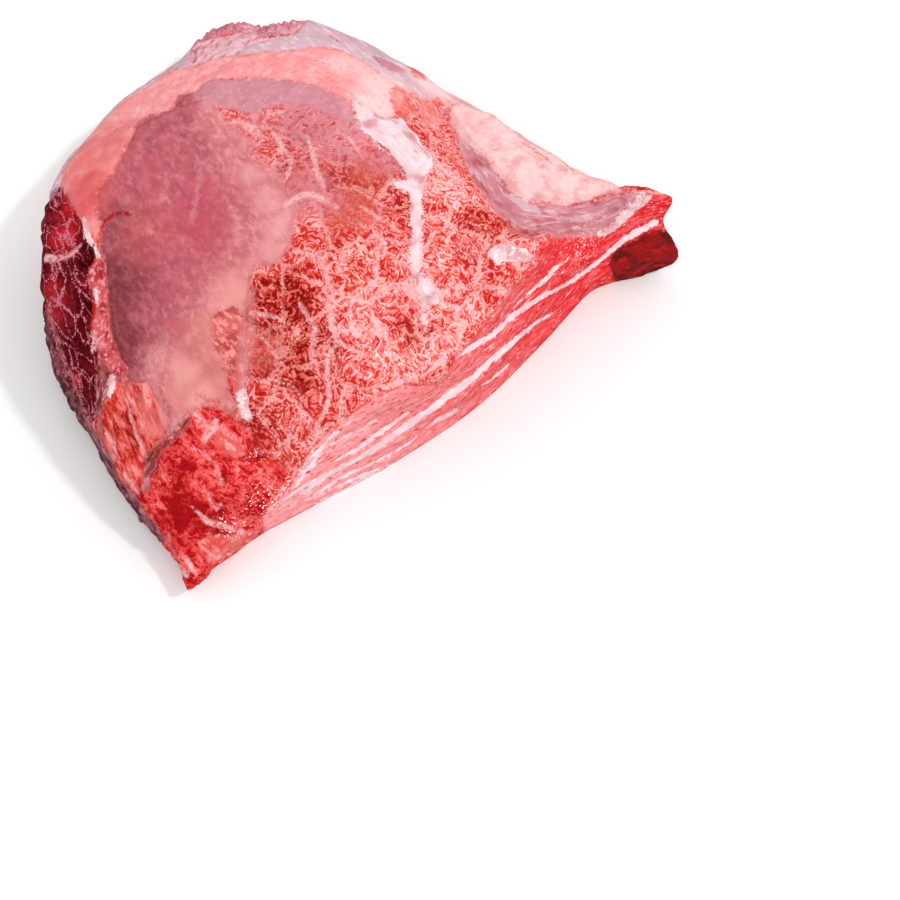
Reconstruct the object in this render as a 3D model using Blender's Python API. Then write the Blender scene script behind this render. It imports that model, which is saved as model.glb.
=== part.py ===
"""Raw beef cheek with a slice cut off its front: one solid, lying on its flat underside.

The cut face looks along -Y, +X runs along the cut and +Z is up. Lengths are in metres.
"""

from collections import namedtuple

import bmesh
import bpy
from mathutils import Vector, noise

MM = 0.001

# Driving dimensions.
HALF_LENGTH = 70 * MM  # from the middle of the cut to either end
HALF_DEPTH = 58 * MM  # from the middle of the meat to the cut and to the far rim
THICKNESS = 47 * MM  # at the crown of the dome

# Cells of the box that is shaped into the meat.
CELLS_ALONG = 56
CELLS_DEEP = 46
CELLS_HIGH = 11

# The widest contour, read round the meat from the left end of the cut (0), past the far left
# corner (1) and the far right corner (3), to the right end of the cut (4).
# Each station: where, x / HALF_LENGTH, y / HALF_DEPTH, height / THICKNESS, shoulder, squareness.
RIM = (
    (0.00, -1.000, -0.970, 0.12, 0.34, 2.2),
    (0.15, -0.966, -0.780, 0.10, 0.30, 2.4),
    (0.35, -0.968, -0.470, 0.09, 0.26, 2.7),
    (0.66, -0.870, 0.145, 0.10, 0.24, 3.0),
    (0.86, -0.728, 0.468, 0.12, 0.26, 2.8),
    (1.00, -0.536, 0.576, 0.14, 0.30, 2.6),
    (1.40, -0.378, 0.848, 0.20, 0.32, 2.3),
    (1.80, -0.145, 0.975, 0.24, 0.34, 2.2),
    (2.20, 0.140, 0.975, 0.24, 0.34, 2.2),
    (2.60, 0.375, 0.930, 0.20, 0.34, 2.2),
    (3.00, 0.596, 0.738, 0.20, 0.34, 2.2),
    (3.30, 0.760, 0.355, 0.24, 0.34, 2.1),
    (3.60, 0.835, -0.175, 0.30, 0.32, 2.1),
    (3.85, 0.895, -0.680, 0.36, 0.26, 2.6),
    (4.00, 1.000, -0.970, 0.42, 0.20, 3.6),
)
MIDDLE_WAIST = 0.3  # the height / THICKNESS that the waist takes in the middle of the cut
UNDERSIDE_SQUARENESS = 3.0
UNDERSIDE_FLAT = 1.06  # above 1, so that the underside is flat short of its rounded border

# How far the cut stands behind its chord / HALF_DEPTH, by x / HALF_LENGTH.
CUT_BOW = (
    (-1.0, 0.150), (-0.86, 0.165), (-0.71, 0.135), (-0.43, 0.065), (-0.23, 0.015), (0.14, -0.030),
    (0.47, 0.002), (0.74, 0.050), (0.87, 0.052), (1.0, -0.010),
)
# How far the cut leans back over THICKNESS / HALF_DEPTH, by x / HALF_LENGTH.
CUT_LEAN = (
    (-1.0, 0.0), (-0.4, 0.02), (0.0, 0.02), (0.35, 0.06), (0.6, 0.05), (0.8, 0.0), (1.0, 0.0),
)
# The height of the cut's upper edge / THICKNESS, by x / HALF_LENGTH.
CUT_TOP = (
    (-1.0, 0.14), (-0.86, 0.23), (-0.62, 0.40), (-0.39, 0.70), (-0.25, 0.79), (-0.13, 0.77),
    (-0.04, 0.71), (0.06, 0.74), (0.17, 0.81), (0.27, 0.88), (0.40, 0.93), (0.55, 0.88),
    (0.66, 0.76), (0.76, 0.64), (0.87, 0.62), (1.0, 0.70),
)
CUT_FADE = (-0.98, -0.55)  # y / HALF_DEPTH over which that edge gives way to the dome
# The crest's height / THICKNESS by y / HALF_DEPTH, and shares of it by x / HALF_LENGTH.
CREST = ((-1.0, 0.95), (-0.5, 1.00), (0.0, 0.97), (0.45, 0.85), (0.8, 0.63), (1.05, 0.45))
CROSS = ((-1.0, 0.44), (-0.6, 0.80), (-0.1, 1.0), (0.3, 0.98), (0.62, 0.78), (1.0, 0.42))

# Folds and swells of the surface, each along a path in millimetres: how far they stand out
# (below zero they are grooves) and how far from the path they reach.
Fold = namedtuple("Fold", "path height reach")
FOLDS = (
    # The membrane valley between the dome and the fat along the right side.
    Fold(((47, -8, 35), (43, -22, 38), (41, -37, 39), (45, -47, 35), (53, -51, 30)), -4.6, 13.0),
    # The fat along the right side.
    Fold(((53, -9, 28), (59, -26, 23), (62, -42, 26), (64, -50, 31)), 1.2, 7.0),
    # The edge of the skin above the dark muscle of the left side.
    Fold(
        ((-34, 41, 21), (-40, 24, 31), (-43, 12, 34), (-50, 0, 32), (-58, -14, 27), (-62, -28, 21)),
        -1.6,
        4.6,
    ),
    # The lobe above the left end of the cut, and the groove round it.
    Fold(((-60, -38, 14), (-52, -36, 22), (-48, -42, 18)), 2.0, 12.0),
    Fold(((-62, -26, 22), (-56, -25, 28), (-48, -26, 33), (-44, -31, 32), (-41, -38, 28)), -2.0, 5.0),
    Fold(((-41, -38, 28), (-40, -43, 25), (-40, -48, 22)), -1.8, 4.6),
    # The pit in the muscle behind it.
    Fold(((-27, -28, 42), (-27, -34, 40), (-28, -40, 37)), -2.2, 4.8),
    # The white vein down the dome.
    Fold(
        ((28, 7, 42), (28, -5, 43), (26, -17, 45), (17, -31, 46), (11, -38, 45), (7, -45, 40)),
        0.8,
        4.4,
    ),
    # The groove between the layers at the right end, above the dark lobe.
    Fold(((58, -54, 15), (64, -56, 16), (71, -56, 17), (68, -46, 16)), -1.0, 4.8),
)

# Places that are drawn out: centre and shift in millimetres, and reach.
Pull = namedtuple("Pull", "centre shift reach")
PULLS = (
    Pull((27, 55, 12), (3.3, 5.8, 0.5), 16),  # the muscle lobe at the far side
    Pull((-67, -46, 4), (-1.4, -2.8, 1.4), 20),  # the left end
    Pull((66, -56, 4), (4.2, -8.5, 0.5), 16),  # the dark lobe under the right end
    Pull((68, -57, 25), (3.0, -1.6, 0.3), 14),  # the right end
)

# Unevenness of the surface: wavelength and height.
WAVES = ((26 * MM, 1.3 * MM), (11 * MM, 0.7 * MM), (5.5 * MM, 0.35 * MM))
# Ripples of the cut face, along it and up it, and their height.
CUT_RIPPLE = Vector((34 * MM, 30 * MM, 6 * MM))
CUT_RIPPLE_HEIGHT = 1.5 * MM
CUT_FACE_TURN = 0.8  # a normal nearer to -Y than this belongs to the cut face
SMOOTHING = 0.25  # share of the way to its neighbours' middle that each raised point goes
FOOT = 4 * MM  # height over which the unevenness starts above the flat underside

MEAT_COLOUR = (0.62, 0.13, 0.12, 1.0)
MEAT_ROUGHNESS = 0.35
SHARP_ANGLE = 0.9  # radians


def between(stations, at, column=1):
    """Reads one column of a table of stations by a smooth curve through its values."""
    last = len(stations) - 1
    k = 0
    while k < last - 1 and at > stations[k + 1][0]:
        k += 1
    before, here = stations[max(k - 1, 0)], stations[k]
    there, after = stations[k + 1], stations[min(k + 2, last)]
    width = there[0] - here[0]
    f = min(max((at - here[0]) / width, 0.0), 1.0)
    rise = (there[column] - before[column]) / max(there[0] - before[0], width) * width
    fall = (after[column] - here[column]) / max(after[0] - here[0], width) * width
    return (
        (2 * f**3 - 3 * f**2 + 1) * here[column]
        + (f**3 - 2 * f**2 + f) * rise
        + (3 * f**2 - 2 * f**3) * there[column]
        + (f**3 - f**2) * fall
    )


def smooth_step(low, high, value):
    """0 below low, 1 above high, and smooth between."""
    f = min(max((value - low) / (high - low), 0.0), 1.0)
    return f * f * (3 - 2 * f)


def fading(distance, reach):
    """1 at no distance, 0 from reach on, and round between."""
    return max(1 - (distance / reach) ** 2, 0.0) ** 2


def top_height(x, y):
    """Height of the top surface over a plan point, before the shoulders are rounded."""
    along, deep = x / HALF_LENGTH, y / HALF_DEPTH
    dome = between(CREST, deep) * between(CROSS, along)
    fade = smooth_step(*CUT_FADE, deep)
    return THICKNESS * ((1 - fade) * between(CUT_TOP, along) + fade * dome)


def where_on_rim(u, t):
    """Place of a box vertex round the rim, 0 to 4, from its share along (u) and deep (t)."""
    ring = max(abs(u), t)
    if ring < 1e-9:
        return 0.0
    if t < abs(u):
        return t / ring if u < 0 else 4.0 - t / ring
    return 2.0 + u / ring


def rim_point(place):
    """Plan point of the widest contour."""
    return Vector((between(RIM, place, 1) * HALF_LENGTH, between(RIM, place, 2) * HALF_DEPTH))


def plan_point(u, t):
    """Plan point of a share along (-1 to 1) and deep (0 to 1), led by the four rims round it."""
    s = (u + 1) / 2
    left, right, far = rim_point(t), rim_point(4 - t), rim_point(1 + 2 * s)
    far_left, far_right = rim_point(1), rim_point(3)
    across = left * (1 - s) + right * s
    corners = (far_left * (1 - s) + far_right * s) * t
    return across + t * far - corners


def shaped(box_point):
    """The place in the meat of a vertex of the box, whose corners are at +-1."""
    u, t, w = box_point.x, (box_point.y + 1) / 2, box_point.z
    ring, place = max(abs(u), t), where_on_rim(u, t)
    waist = (MIDDLE_WAIST + (between(RIM, place, 3) - MIDDLE_WAIST) * ring) * THICKNESS
    shoulder = between(RIM, place, 4)
    power = between(RIM, place, 5) if w > 0 else UNDERSIDE_SQUARENESS
    outward = max(ring - (1 - shoulder), 0.0) / shoulder
    total = (outward**power + abs(w) ** power) ** (1 / power)
    squeeze = max(outward, abs(w)) / total if total > 1e-9 else 1.0
    reach = min(ring, 1 - shoulder) + shoulder * outward * squeeze
    inset = reach / ring if ring > 1e-9 else 1.0
    plan = plan_point(u * inset, t * inset)
    rise = w * squeeze
    if rise > 0:
        height = waist + (top_height(plan.x, plan.y) - waist) * rise
    else:
        height = max(waist * (1 + rise * UNDERSIDE_FLAT), 0.0)
    along = plan.x / HALF_LENGTH
    bow = between(CUT_BOW, along) + between(CUT_LEAN, along) * height / THICKNESS
    return Vector((plan.x, plan.y + bow * HALF_DEPTH * (1 - t) ** 2, height))


def box_grid():
    """A box from -1 to 1 whose faces are grids of cells."""
    mesh = bmesh.new()
    bmesh.ops.create_cube(mesh, size=2.0)
    for axis, cells in ((0, CELLS_ALONG), (1, CELLS_DEEP), (2, CELLS_HIGH)):
        along_axis = [
            edge
            for edge in mesh.edges
            if abs(edge.verts[0].co[axis] - edge.verts[1].co[axis]) > 1e-6
        ]
        bmesh.ops.subdivide_edges(mesh, edges=along_axis, cuts=cells - 1, use_grid_fill=True)
    return mesh


def distance_to_path(point, path):
    """Distance from a point to a path of straight stretches."""
    nearest = None
    for start, end in zip(path, path[1:]):
        stretch = end - start
        share = min(max((point - start).dot(stretch) / stretch.length_squared, 0.0), 1.0)
        distance = (point - start - stretch * share).length
        nearest = distance if nearest is None else min(nearest, distance)
    return nearest


def folded(point):
    """How far the folds push the surface out at a point."""
    push = 0.0
    for fold in FOLDS:
        path = [Vector(corner) * MM for corner in fold.path]
        push += fold.height * MM * fading(distance_to_path(point, path), fold.reach * MM)
    return push


def pulled(point):
    """Shift of a point by the places that are drawn out."""
    shift = Vector()
    for pull in PULLS:
        distance = (point - Vector(pull.centre) * MM).length
        shift += Vector(pull.shift) * MM * fading(distance, pull.reach * MM)
    return shift


def uneven(point, normal):
    """How far the surface's unevenness pushes it out at a point."""
    if -normal.y > CUT_FACE_TURN:
        place = Vector(p / r for p, r in zip(point, CUT_RIPPLE))
        return CUT_RIPPLE_HEIGHT * noise.noise(place)
    return sum(height * noise.noise(point / length) for length, height in WAVES)


def relieve(mesh):
    """Adds the folds, the drawn-out places and the unevenness, and keeps the underside flat."""
    for push_of in (lambda v: folded(v.co), lambda v: uneven(v.co, v.normal)):
        mesh.normal_update()
        pushes = [(v, v.normal * push_of(v) * smooth_step(0, FOOT, v.co.z)) for v in mesh.verts]
        for vertex, push in pushes:
            vertex.co += push
    raised = [vertex for vertex in mesh.verts if vertex.co.z > 0.0]
    axes = {"use_axis_x": True, "use_axis_y": True, "use_axis_z": True}
    bmesh.ops.smooth_vert(mesh, verts=raised, factor=SMOOTHING, **axes)
    for vertex in mesh.verts:
        lies_flat = vertex.co.z <= 0.0
        vertex.co += pulled(vertex.co)
        vertex.co.z = 0.0 if lies_flat else max(vertex.co.z, 0.0)


def join_underside(mesh):
    """Makes the flat underside one face."""
    flat = [face for face in mesh.faces if all(vertex.co.z <= 0.0 for vertex in face.verts)]
    bmesh.ops.dissolve_faces(mesh, faces=flat)


def centre(mesh):
    """Puts the origin in the middle of the box round the meat, at its foot."""
    spans = [[vertex.co[axis] for vertex in mesh.verts] for axis in (0, 1)]
    middle = Vector([(min(span) + max(span)) / 2 for span in spans] + [0.0])
    bmesh.ops.translate(mesh, verts=mesh.verts, vec=-middle)


def meat_material():
    """The wet red of the muscle."""
    material = bpy.data.materials.new("raw_meat")
    material.use_nodes = True
    shader = material.node_tree.nodes["Principled BSDF"]
    shader.inputs["Base Color"].default_value = MEAT_COLOUR
    shader.inputs["Roughness"].default_value = MEAT_ROUGHNESS
    shader.inputs["Metallic"].default_value = 0.0
    return material


def build_cheek():
    """Makes the cheek's object."""
    mesh = box_grid()
    for vertex in mesh.verts:
        vertex.co = shaped(vertex.co)
    bmesh.ops.recalc_face_normals(mesh, faces=mesh.faces)
    relieve(mesh)
    join_underside(mesh)
    centre(mesh)
    data = bpy.data.meshes.new("cheek")
    mesh.to_mesh(data)
    mesh.free()
    data.shade_smooth()
    data.set_sharp_from_angle(angle=SHARP_ANGLE)
    data.materials.append(meat_material())
    cheek = bpy.data.objects.new("cheek", data)
    bpy.context.scene.collection.objects.link(cheek)
    return cheek


def main():
    for old in list(bpy.data.objects):
        bpy.data.objects.remove(old)
    build_cheek()


main()
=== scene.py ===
"""Raw beef cheek with a cut face along its front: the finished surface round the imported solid.

Lengths are in millimetres where nothing else is said. Outlines and paths that follow the
photograph are in its pixels, 900 by 900, and are laid onto the meat along the camera's rays.
"""

import logging
import math
from dataclasses import dataclass, field
from enum import Enum

import bmesh
import bpy
import numpy as np
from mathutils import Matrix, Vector, noise
from mathutils.bvhtree import BVHTree


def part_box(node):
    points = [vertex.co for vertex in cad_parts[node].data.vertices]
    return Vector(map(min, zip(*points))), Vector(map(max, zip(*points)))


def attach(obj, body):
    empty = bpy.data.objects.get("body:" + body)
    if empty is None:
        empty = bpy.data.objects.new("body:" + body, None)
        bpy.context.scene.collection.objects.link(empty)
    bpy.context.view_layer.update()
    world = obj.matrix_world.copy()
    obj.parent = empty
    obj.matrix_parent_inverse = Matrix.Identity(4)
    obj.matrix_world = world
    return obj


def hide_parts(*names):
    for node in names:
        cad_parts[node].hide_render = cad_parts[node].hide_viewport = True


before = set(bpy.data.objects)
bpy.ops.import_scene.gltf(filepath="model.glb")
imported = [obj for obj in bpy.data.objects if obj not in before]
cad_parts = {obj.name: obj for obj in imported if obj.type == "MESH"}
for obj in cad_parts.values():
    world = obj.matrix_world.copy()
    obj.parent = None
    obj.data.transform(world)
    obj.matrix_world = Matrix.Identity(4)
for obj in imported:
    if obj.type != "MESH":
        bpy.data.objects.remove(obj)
LOG = logging.getLogger("beef_cheek")

MM = 0.001

Pixel = tuple[float, float]
Colour = tuple[float, float, float]


def linear(red: float, green: float, blue: float) -> tuple[float, float, float, float]:
    """Turns a display colour into the linear colour that a shader takes.

    Args:
        red: Red from 0 to 255.
        green: Green from 0 to 255.
        blue: Blue from 0 to 255.

    Returns:
        The linear colour with full alpha.
    """
    parts = [value / 255 for value in (red, green, blue)]
    curve = [v / 12.92 if v <= 0.04045 else ((v + 0.055) / 1.055) ** 2.4 for v in parts]
    return (curve[0], curve[1], curve[2], 1.0)


def smooth_step(low: float, high: float, value: np.ndarray) -> np.ndarray:
    """Gives 0 below low, 1 above high, and a smooth rise between.

    Args:
        low: Where the rise starts.
        high: Where the rise ends; below low, the rise is a fall.
        value: The values to read.

    Returns:
        One share for each value.
    """
    share = np.clip((value - low) / (high - low), 0.0, 1.0)
    return share * share * (3 - 2 * share)


def outline_distance(points: np.ndarray, outline: np.ndarray) -> np.ndarray:
    """Measures flat points against a closed outline.

    Args:
        points: The points, one row each.
        outline: The outline's corners in order.

    Returns:
        The distance to the outline, below zero inside it.
    """
    nearest = np.full(len(points), np.inf)
    inside = np.zeros(len(points), bool)
    for start, end in zip(outline, np.roll(outline, -1, axis=0)):
        stretch = end - start
        share = np.clip((points - start) @ stretch / max(stretch @ stretch, 1e-9), 0.0, 1.0)
        away = points - start - share[:, None] * stretch
        nearest = np.minimum(nearest, np.hypot(away[:, 0], away[:, 1]))
        crosses = (start[1] > points[:, 1]) != (end[1] > points[:, 1])
        rise = stretch[1] if abs(stretch[1]) > 1e-9 else 1e-9
        meets = start[0] + (points[:, 1] - start[1]) / rise * stretch[0]
        inside ^= crosses & (points[:, 0] < meets)
    return np.where(inside, -nearest, nearest)


def path_distance(points: np.ndarray, path: np.ndarray, widths: np.ndarray) -> np.ndarray:
    """Measures flat points against a path whose width changes along it.

    Args:
        points: The points, one row each.
        path: The path's corners in order.
        widths: The path's full width at each corner.

    Returns:
        The distance to the path's border, below zero inside it.
    """
    nearest = np.full(len(points), np.inf)
    for start, end, wide, wide_end in zip(path, path[1:], widths, widths[1:]):
        stretch = end - start
        share = np.clip((points - start) @ stretch / max(stretch @ stretch, 1e-9), 0.0, 1.0)
        away = points - start - share[:, None] * stretch
        half = (wide + (wide_end - wide) * share) / 2
        nearest = np.minimum(nearest, np.hypot(away[:, 0], away[:, 1]) - half)
    return nearest


def wander(points: np.ndarray, wavelength: float, seed: float = 0.0) -> np.ndarray:
    """Reads smooth noise at points in space.

    Args:
        points: The points, one row each.
        wavelength: The size of the noise's waves, in the points' unit.
        seed: Shifts the noise, so that two uses differ.

    Returns:
        One value from about -1 to 1 for each point.
    """
    places = points / wavelength + seed
    return np.array([noise.noise(Vector(place)) for place in places])


@dataclass(frozen=True)
class Viewpoint:
    """The place that the photograph was taken from."""

    azimuth: float = -42.0
    elevation: float = 66.0
    lens: float = 85.0
    sensor: float = 36.0
    distance: float = 500.0
    aim: tuple[float, float, float] = (-2.815, -59.942, 0.0)
    frame_pixels: int = 900

    def axes(self) -> tuple[Vector, Vector, Vector]:
        """Works out how the camera is turned.

        Returns:
            The view's right, up and backward directions.
        """
        turn, lift = math.radians(self.azimuth), math.radians(self.elevation)
        back = Vector(
            (math.sin(turn) * math.cos(lift), -math.cos(turn) * math.cos(lift), math.sin(lift))
        )
        right = Vector((math.cos(turn), math.sin(turn), 0.0))
        return right, back.cross(right), back

    def eye(self) -> Vector:
        """Gives the camera's place."""
        return Vector(self.aim) + self.axes()[2] * self.distance

    def pixel_size(self) -> float:
        """Gives the length that one pixel spans at the aim."""
        return self.sensor / self.lens / self.frame_pixels * self.distance

    def ray(self, pixel: Pixel) -> Vector:
        """Gives the direction that a pixel looks in.

        Args:
            pixel: The pixel in the photograph's frame.

        Returns:
            A unit direction.
        """
        right, up, back = self.axes()
        step = self.sensor / self.lens / self.frame_pixels
        across = (pixel[0] + 0.5 - self.frame_pixels / 2) * step
        down = (pixel[1] + 0.5 - self.frame_pixels / 2) * step
        return (right * across - up * down - back).normalized()

    def project(self, points: np.ndarray) -> np.ndarray:
        """Finds the pixels that points fall on.

        Args:
            points: The points, one row each.

        Returns:
            One pixel for each point.
        """
        right, up, back = (np.array(axis) for axis in self.axes())
        away = points - np.array(self.eye())
        depth = -(away @ back)
        step = self.sensor / self.lens / self.frame_pixels
        middle = self.frame_pixels / 2 - 0.5
        return np.stack(
            [away @ right / depth / step + middle, middle - away @ up / depth / step], axis=1
        )

    def make_camera(self) -> None:
        """Adds the camera and makes it the scene's."""
        data = bpy.data.cameras.new("camera")
        data.lens = self.lens
        data.sensor_width = self.sensor
        data.clip_start = 10 * MM
        data.clip_end = 20.0
        camera = bpy.data.objects.new("camera", data)
        camera.location = self.eye() * MM
        camera.rotation_mode = "QUATERNION"
        camera.rotation_quaternion = (-self.axes()[2]).to_track_quat("-Z", "Y")
        bpy.context.scene.collection.objects.link(camera)
        bpy.context.scene.camera = camera


@dataclass(frozen=True)
class Chart:
    """Flattens the dome and its sides, so that outlines can run on round the meat."""

    crown: tuple[float, float] = (2.0, -14.0)
    height: float = 47.0
    softness: float = 10.0
    middle_pixel: Pixel = (330.0, 300.0)
    search_steps: int = 400

    def flatten(self, points: np.ndarray) -> np.ndarray:
        """Lays points out flat, as far from the crown as they lie from it over the surface.

        Args:
            points: The points, one row each.

        Returns:
            One flat point for each.
        """
        plan = points[:, :2] - np.array(self.crown)
        reach = np.hypot(plan[:, 0], plan[:, 1]) + self.softness
        stretch = 1 + np.maximum(self.height - points[:, 2], 0.0) / reach
        return plan * stretch[:, None]

    def lay(self, pixels: tuple[Pixel, ...], surface: BVHTree, view: Viewpoint) -> np.ndarray:
        """Lays pixels of the photograph onto the chart.

        A pixel outside the meat's outline stands for a place round the side, as far past the
        outline's nearest place as the pixel is.

        Args:
            pixels: The pixels in order.
            surface: The meat's surface.
            view: The place that the photograph was taken from.

        Returns:
            One flat point for each pixel.
        """
        laid = []
        middle = np.array(self.middle_pixel)
        for pixel in pixels:
            spot = np.array(pixel, float)
            for step in range(self.search_steps):
                share = step / self.search_steps
                tried = spot + (middle - spot) * share
                hit = surface.ray_cast(view.eye(), view.ray(tuple(tried)))[0]
                if hit is not None:
                    break
            flat = self.flatten(np.array([hit]))[0]
            past = np.linalg.norm(tried - spot) * view.pixel_size()
            laid.append(flat + flat / max(np.linalg.norm(flat), 1e-9) * past)
        return np.array(laid)


class Region(Enum):
    """The kinds of surface, each with its field of distances on the mesh."""

    SKIN = "skin"
    LENS = "lens"
    SALMON = "salmon"
    CREAM = "cream"
    VALLEY = "valley"
    FAR_SKIN = "far_skin"
    FAR_LOBE = "far_lobe"
    STRANDS = "strands"
    FLAP = "flap"
    SIDE = "side"
    TISSUE = "tissue"
    GREY = "grey"
    LOBE = "lobe"
    FOLDS = "folds"
    BLUSH = "blush"
    STAIN_AND_SHADE = "stain_and_shade"
    HEM = "hem"
    NET = "net"
    FLAKE = "flake"
    VEIN = "vein"
    PALE = "pale"
    SHADED_SLIT = "shaded_slit"
    CUT = "cut"
    SEAM = "seam"
    DARK = "dark_shaded_lobe"
    SHADED_FOOT = "foot"


class Tint(Enum):
    """Soft changes of tone, each with its field of shares on the mesh."""

    BROWN = "brown"
    LIGHT = "light"
    SHADED_PIT = "shaded_pit"
    RED = "red"
    HAZE = "haze"
    PLAIN = "plain"
    ROSE = "rose"
    SHADED_FLANK = "shaded_flank"
    PEACH = "peach"
    MILKY = "milky"
    GLINT = "glint"
    FAR_SIDE = "far_side"


@dataclass(frozen=True)
class Patch:
    """A closed outline of one kind of surface, in pixels.

    Its distances are measured over the surface or, where seen is set, in the picture's plane.
    """

    region: Region
    outline: tuple[Pixel, ...]
    ragged: float = 0.5
    seen: bool = False


@dataclass(frozen=True)
class Streak:
    """A path of one kind of surface, in pixels, with its width at the start, middle and end."""

    region: Region
    path: tuple[Pixel, ...]
    widths: tuple[float, float, float]
    seen: bool = False


@dataclass(frozen=True)
class Blot:
    """A soft round spot of a tint, in pixels, full within a core's share of its reach."""

    tint: Tint
    middle: Pixel
    reach: float
    share: float = 1.0
    core: float = 0.25


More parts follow.
